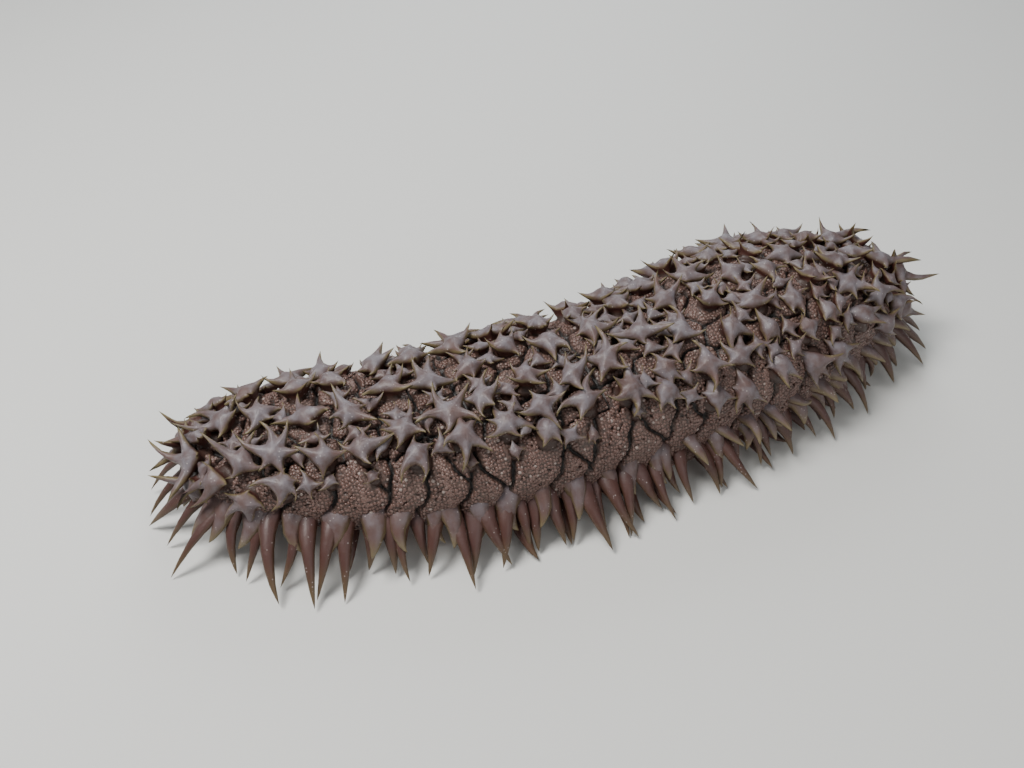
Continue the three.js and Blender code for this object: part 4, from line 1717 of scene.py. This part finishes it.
class Studio:
    """A pale floor, soft lights and the camera at the photograph's angle."""

    target = (-0.03834, 0.01079, 0.042)
    azimuth, elevation, distance, lens = -25.18, 44.29, 0.60435, 36.914

    def build(self) -> None:
        """Makes the floor, the lights and the camera."""
        self.floor()
        self.light("key", (-0.55, 0.15, 1.15), 0.45, 21.0, (1.0, 0.985, 0.96))
        self.light("back", (0.45, 0.9, 0.7), 0.6, 6.0, (0.93, 0.97, 1.0))
        self.light("fill", (0.3, -1.3, 0.7), 1.0, 7.0, (1.0, 0.98, 0.95))
        world = bpy.data.worlds.new("studio")
        world.use_nodes = True
        sky = world.node_tree.nodes["Background"].inputs
        sky["Color"].default_value = (0.86, 0.9, 0.93, 1.0)
        sky["Strength"].default_value = 0.26
        bpy.context.scene.world = world
        self.camera()

    def floor(self) -> None:
        """The pale floor."""
        bm = bmesh.new()
        bmesh.ops.create_grid(bm, x_segments=1, y_segments=1, size=6.0)
        floor = linked("floor", mesh_of(bm, "floor"))
        n = Nodes("pale_floor")
        paint = n.finish((0.66, 0.66, 0.64), 0.8, n.bump(n.noise(4.0), 0.05, 0.3))
        floor.data.materials.append(paint)

    def light(
        self,
        name: str,
        place: tuple[float, float, float],
        size: float,
        power: float,
        colour: Colour,
    ) -> None:
        """One soft light that looks at the animal.

        Args:
            name: Its name.
            place: Where it stands, in metres.
            size: Its side in metres.
            power: Its power in watts.
            colour: Its colour.
        """
        data = bpy.data.lights.new(name, "AREA")
        data.size, data.energy, data.color = size, power, colour
        lamp = linked(name, data)
        lamp.location = place
        lamp.rotation_euler = (-Vector(place)).to_track_quat("-Z", "Y").to_euler()

    def camera(self) -> None:
        """The camera, where the photograph was taken from."""
        a, e = math.radians(self.azimuth), math.radians(self.elevation)
        back = Vector((math.sin(a) * math.cos(e), -math.cos(a) * math.cos(e), math.sin(e)))
        data = bpy.data.cameras.new("camera")
        data.lens, data.sensor_width = self.lens, 36.0
        camera = linked("camera", data)
        camera.location = Vector(self.target) + back * self.distance
        camera.rotation_euler = (-back).to_track_quat("-Z", "Y").to_euler()
        bpy.context.scene.camera = camera


class SeaCucumber:
    """The whole animal, piece by piece."""

    feet_flesh = SoftFinish("foot_flesh", (0.17, 0.055, 0.03), (0.32, 0.18, 0.11))
    mouth_flesh = SoftFinish("mouth_flesh", (0.05, 0.016, 0.012), (0.11, 0.045, 0.033))
    tentacle_flesh = SoftFinish("tentacle_flesh", (0.07, 0.025, 0.017), (0.19, 0.10, 0.065))
    vent_flesh = SoftFinish("vent_flesh", (0.08, 0.040, 0.031), (0.035, 0.010, 0.008))

    def settle(
        self, piece: bpy.types.Object, material: bpy.types.Material, slot: str, *nodes: str
    ) -> None:
        """Dresses a piece, ties it to the body and reports it.

        Args:
            piece: The piece.
            material: Its finish.
            slot: Not used.
            nodes: Solids that it stands for.
        """
        piece.data.materials.append(material)
        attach(piece, "root")
        if nodes:
            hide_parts(*nodes)
        LOG.info("%s: %d faces", piece.name, len(piece.data.polygons))

    def build(self) -> None:
        """Builds every piece in order."""
        skin = Skin()
        walls = [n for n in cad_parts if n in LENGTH_NAMES or n.startswith("sole_")]
        self.settle(skin.build(), SkinFinish().material(), "body_wall", *walls)
        grains = PebbleFinish().material()
        for piece in Pebbles(skin).build():
            self.settle(piece, grains, "body_wall")
        star_flesh = PapillaFinish().material("papilla_flesh")
        finger_flesh = PapillaFinish().material("fringe_flesh", 0.02)
        for span in LAYOUT.spans():
            self.settle(Papillae(skin, span).build(), star_flesh, "body_wall")
            self.settle(Fringe(skin, span).build(), finger_flesh, "body_wall")
        mouth = Mouth()
        self.settle(TubeFeet(skin).build(), self.feet_flesh.material(), "sole")
        self.settle(mouth.dome(), self.mouth_flesh.material(), "mouth", "mouth")
        self.settle(mouth.tentacles(), self.tentacle_flesh.material(), "mouth")
        self.settle(Vent().build(), self.vent_flesh.material(), "vent", "vent")


def main() -> None:
    """Builds the animal and its studio."""
    logging.basicConfig(level=logging.INFO, format="%(message)s")
    SeaCucumber().build()
    Studio().build()
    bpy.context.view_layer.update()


if __name__ == "__main__":
    main()
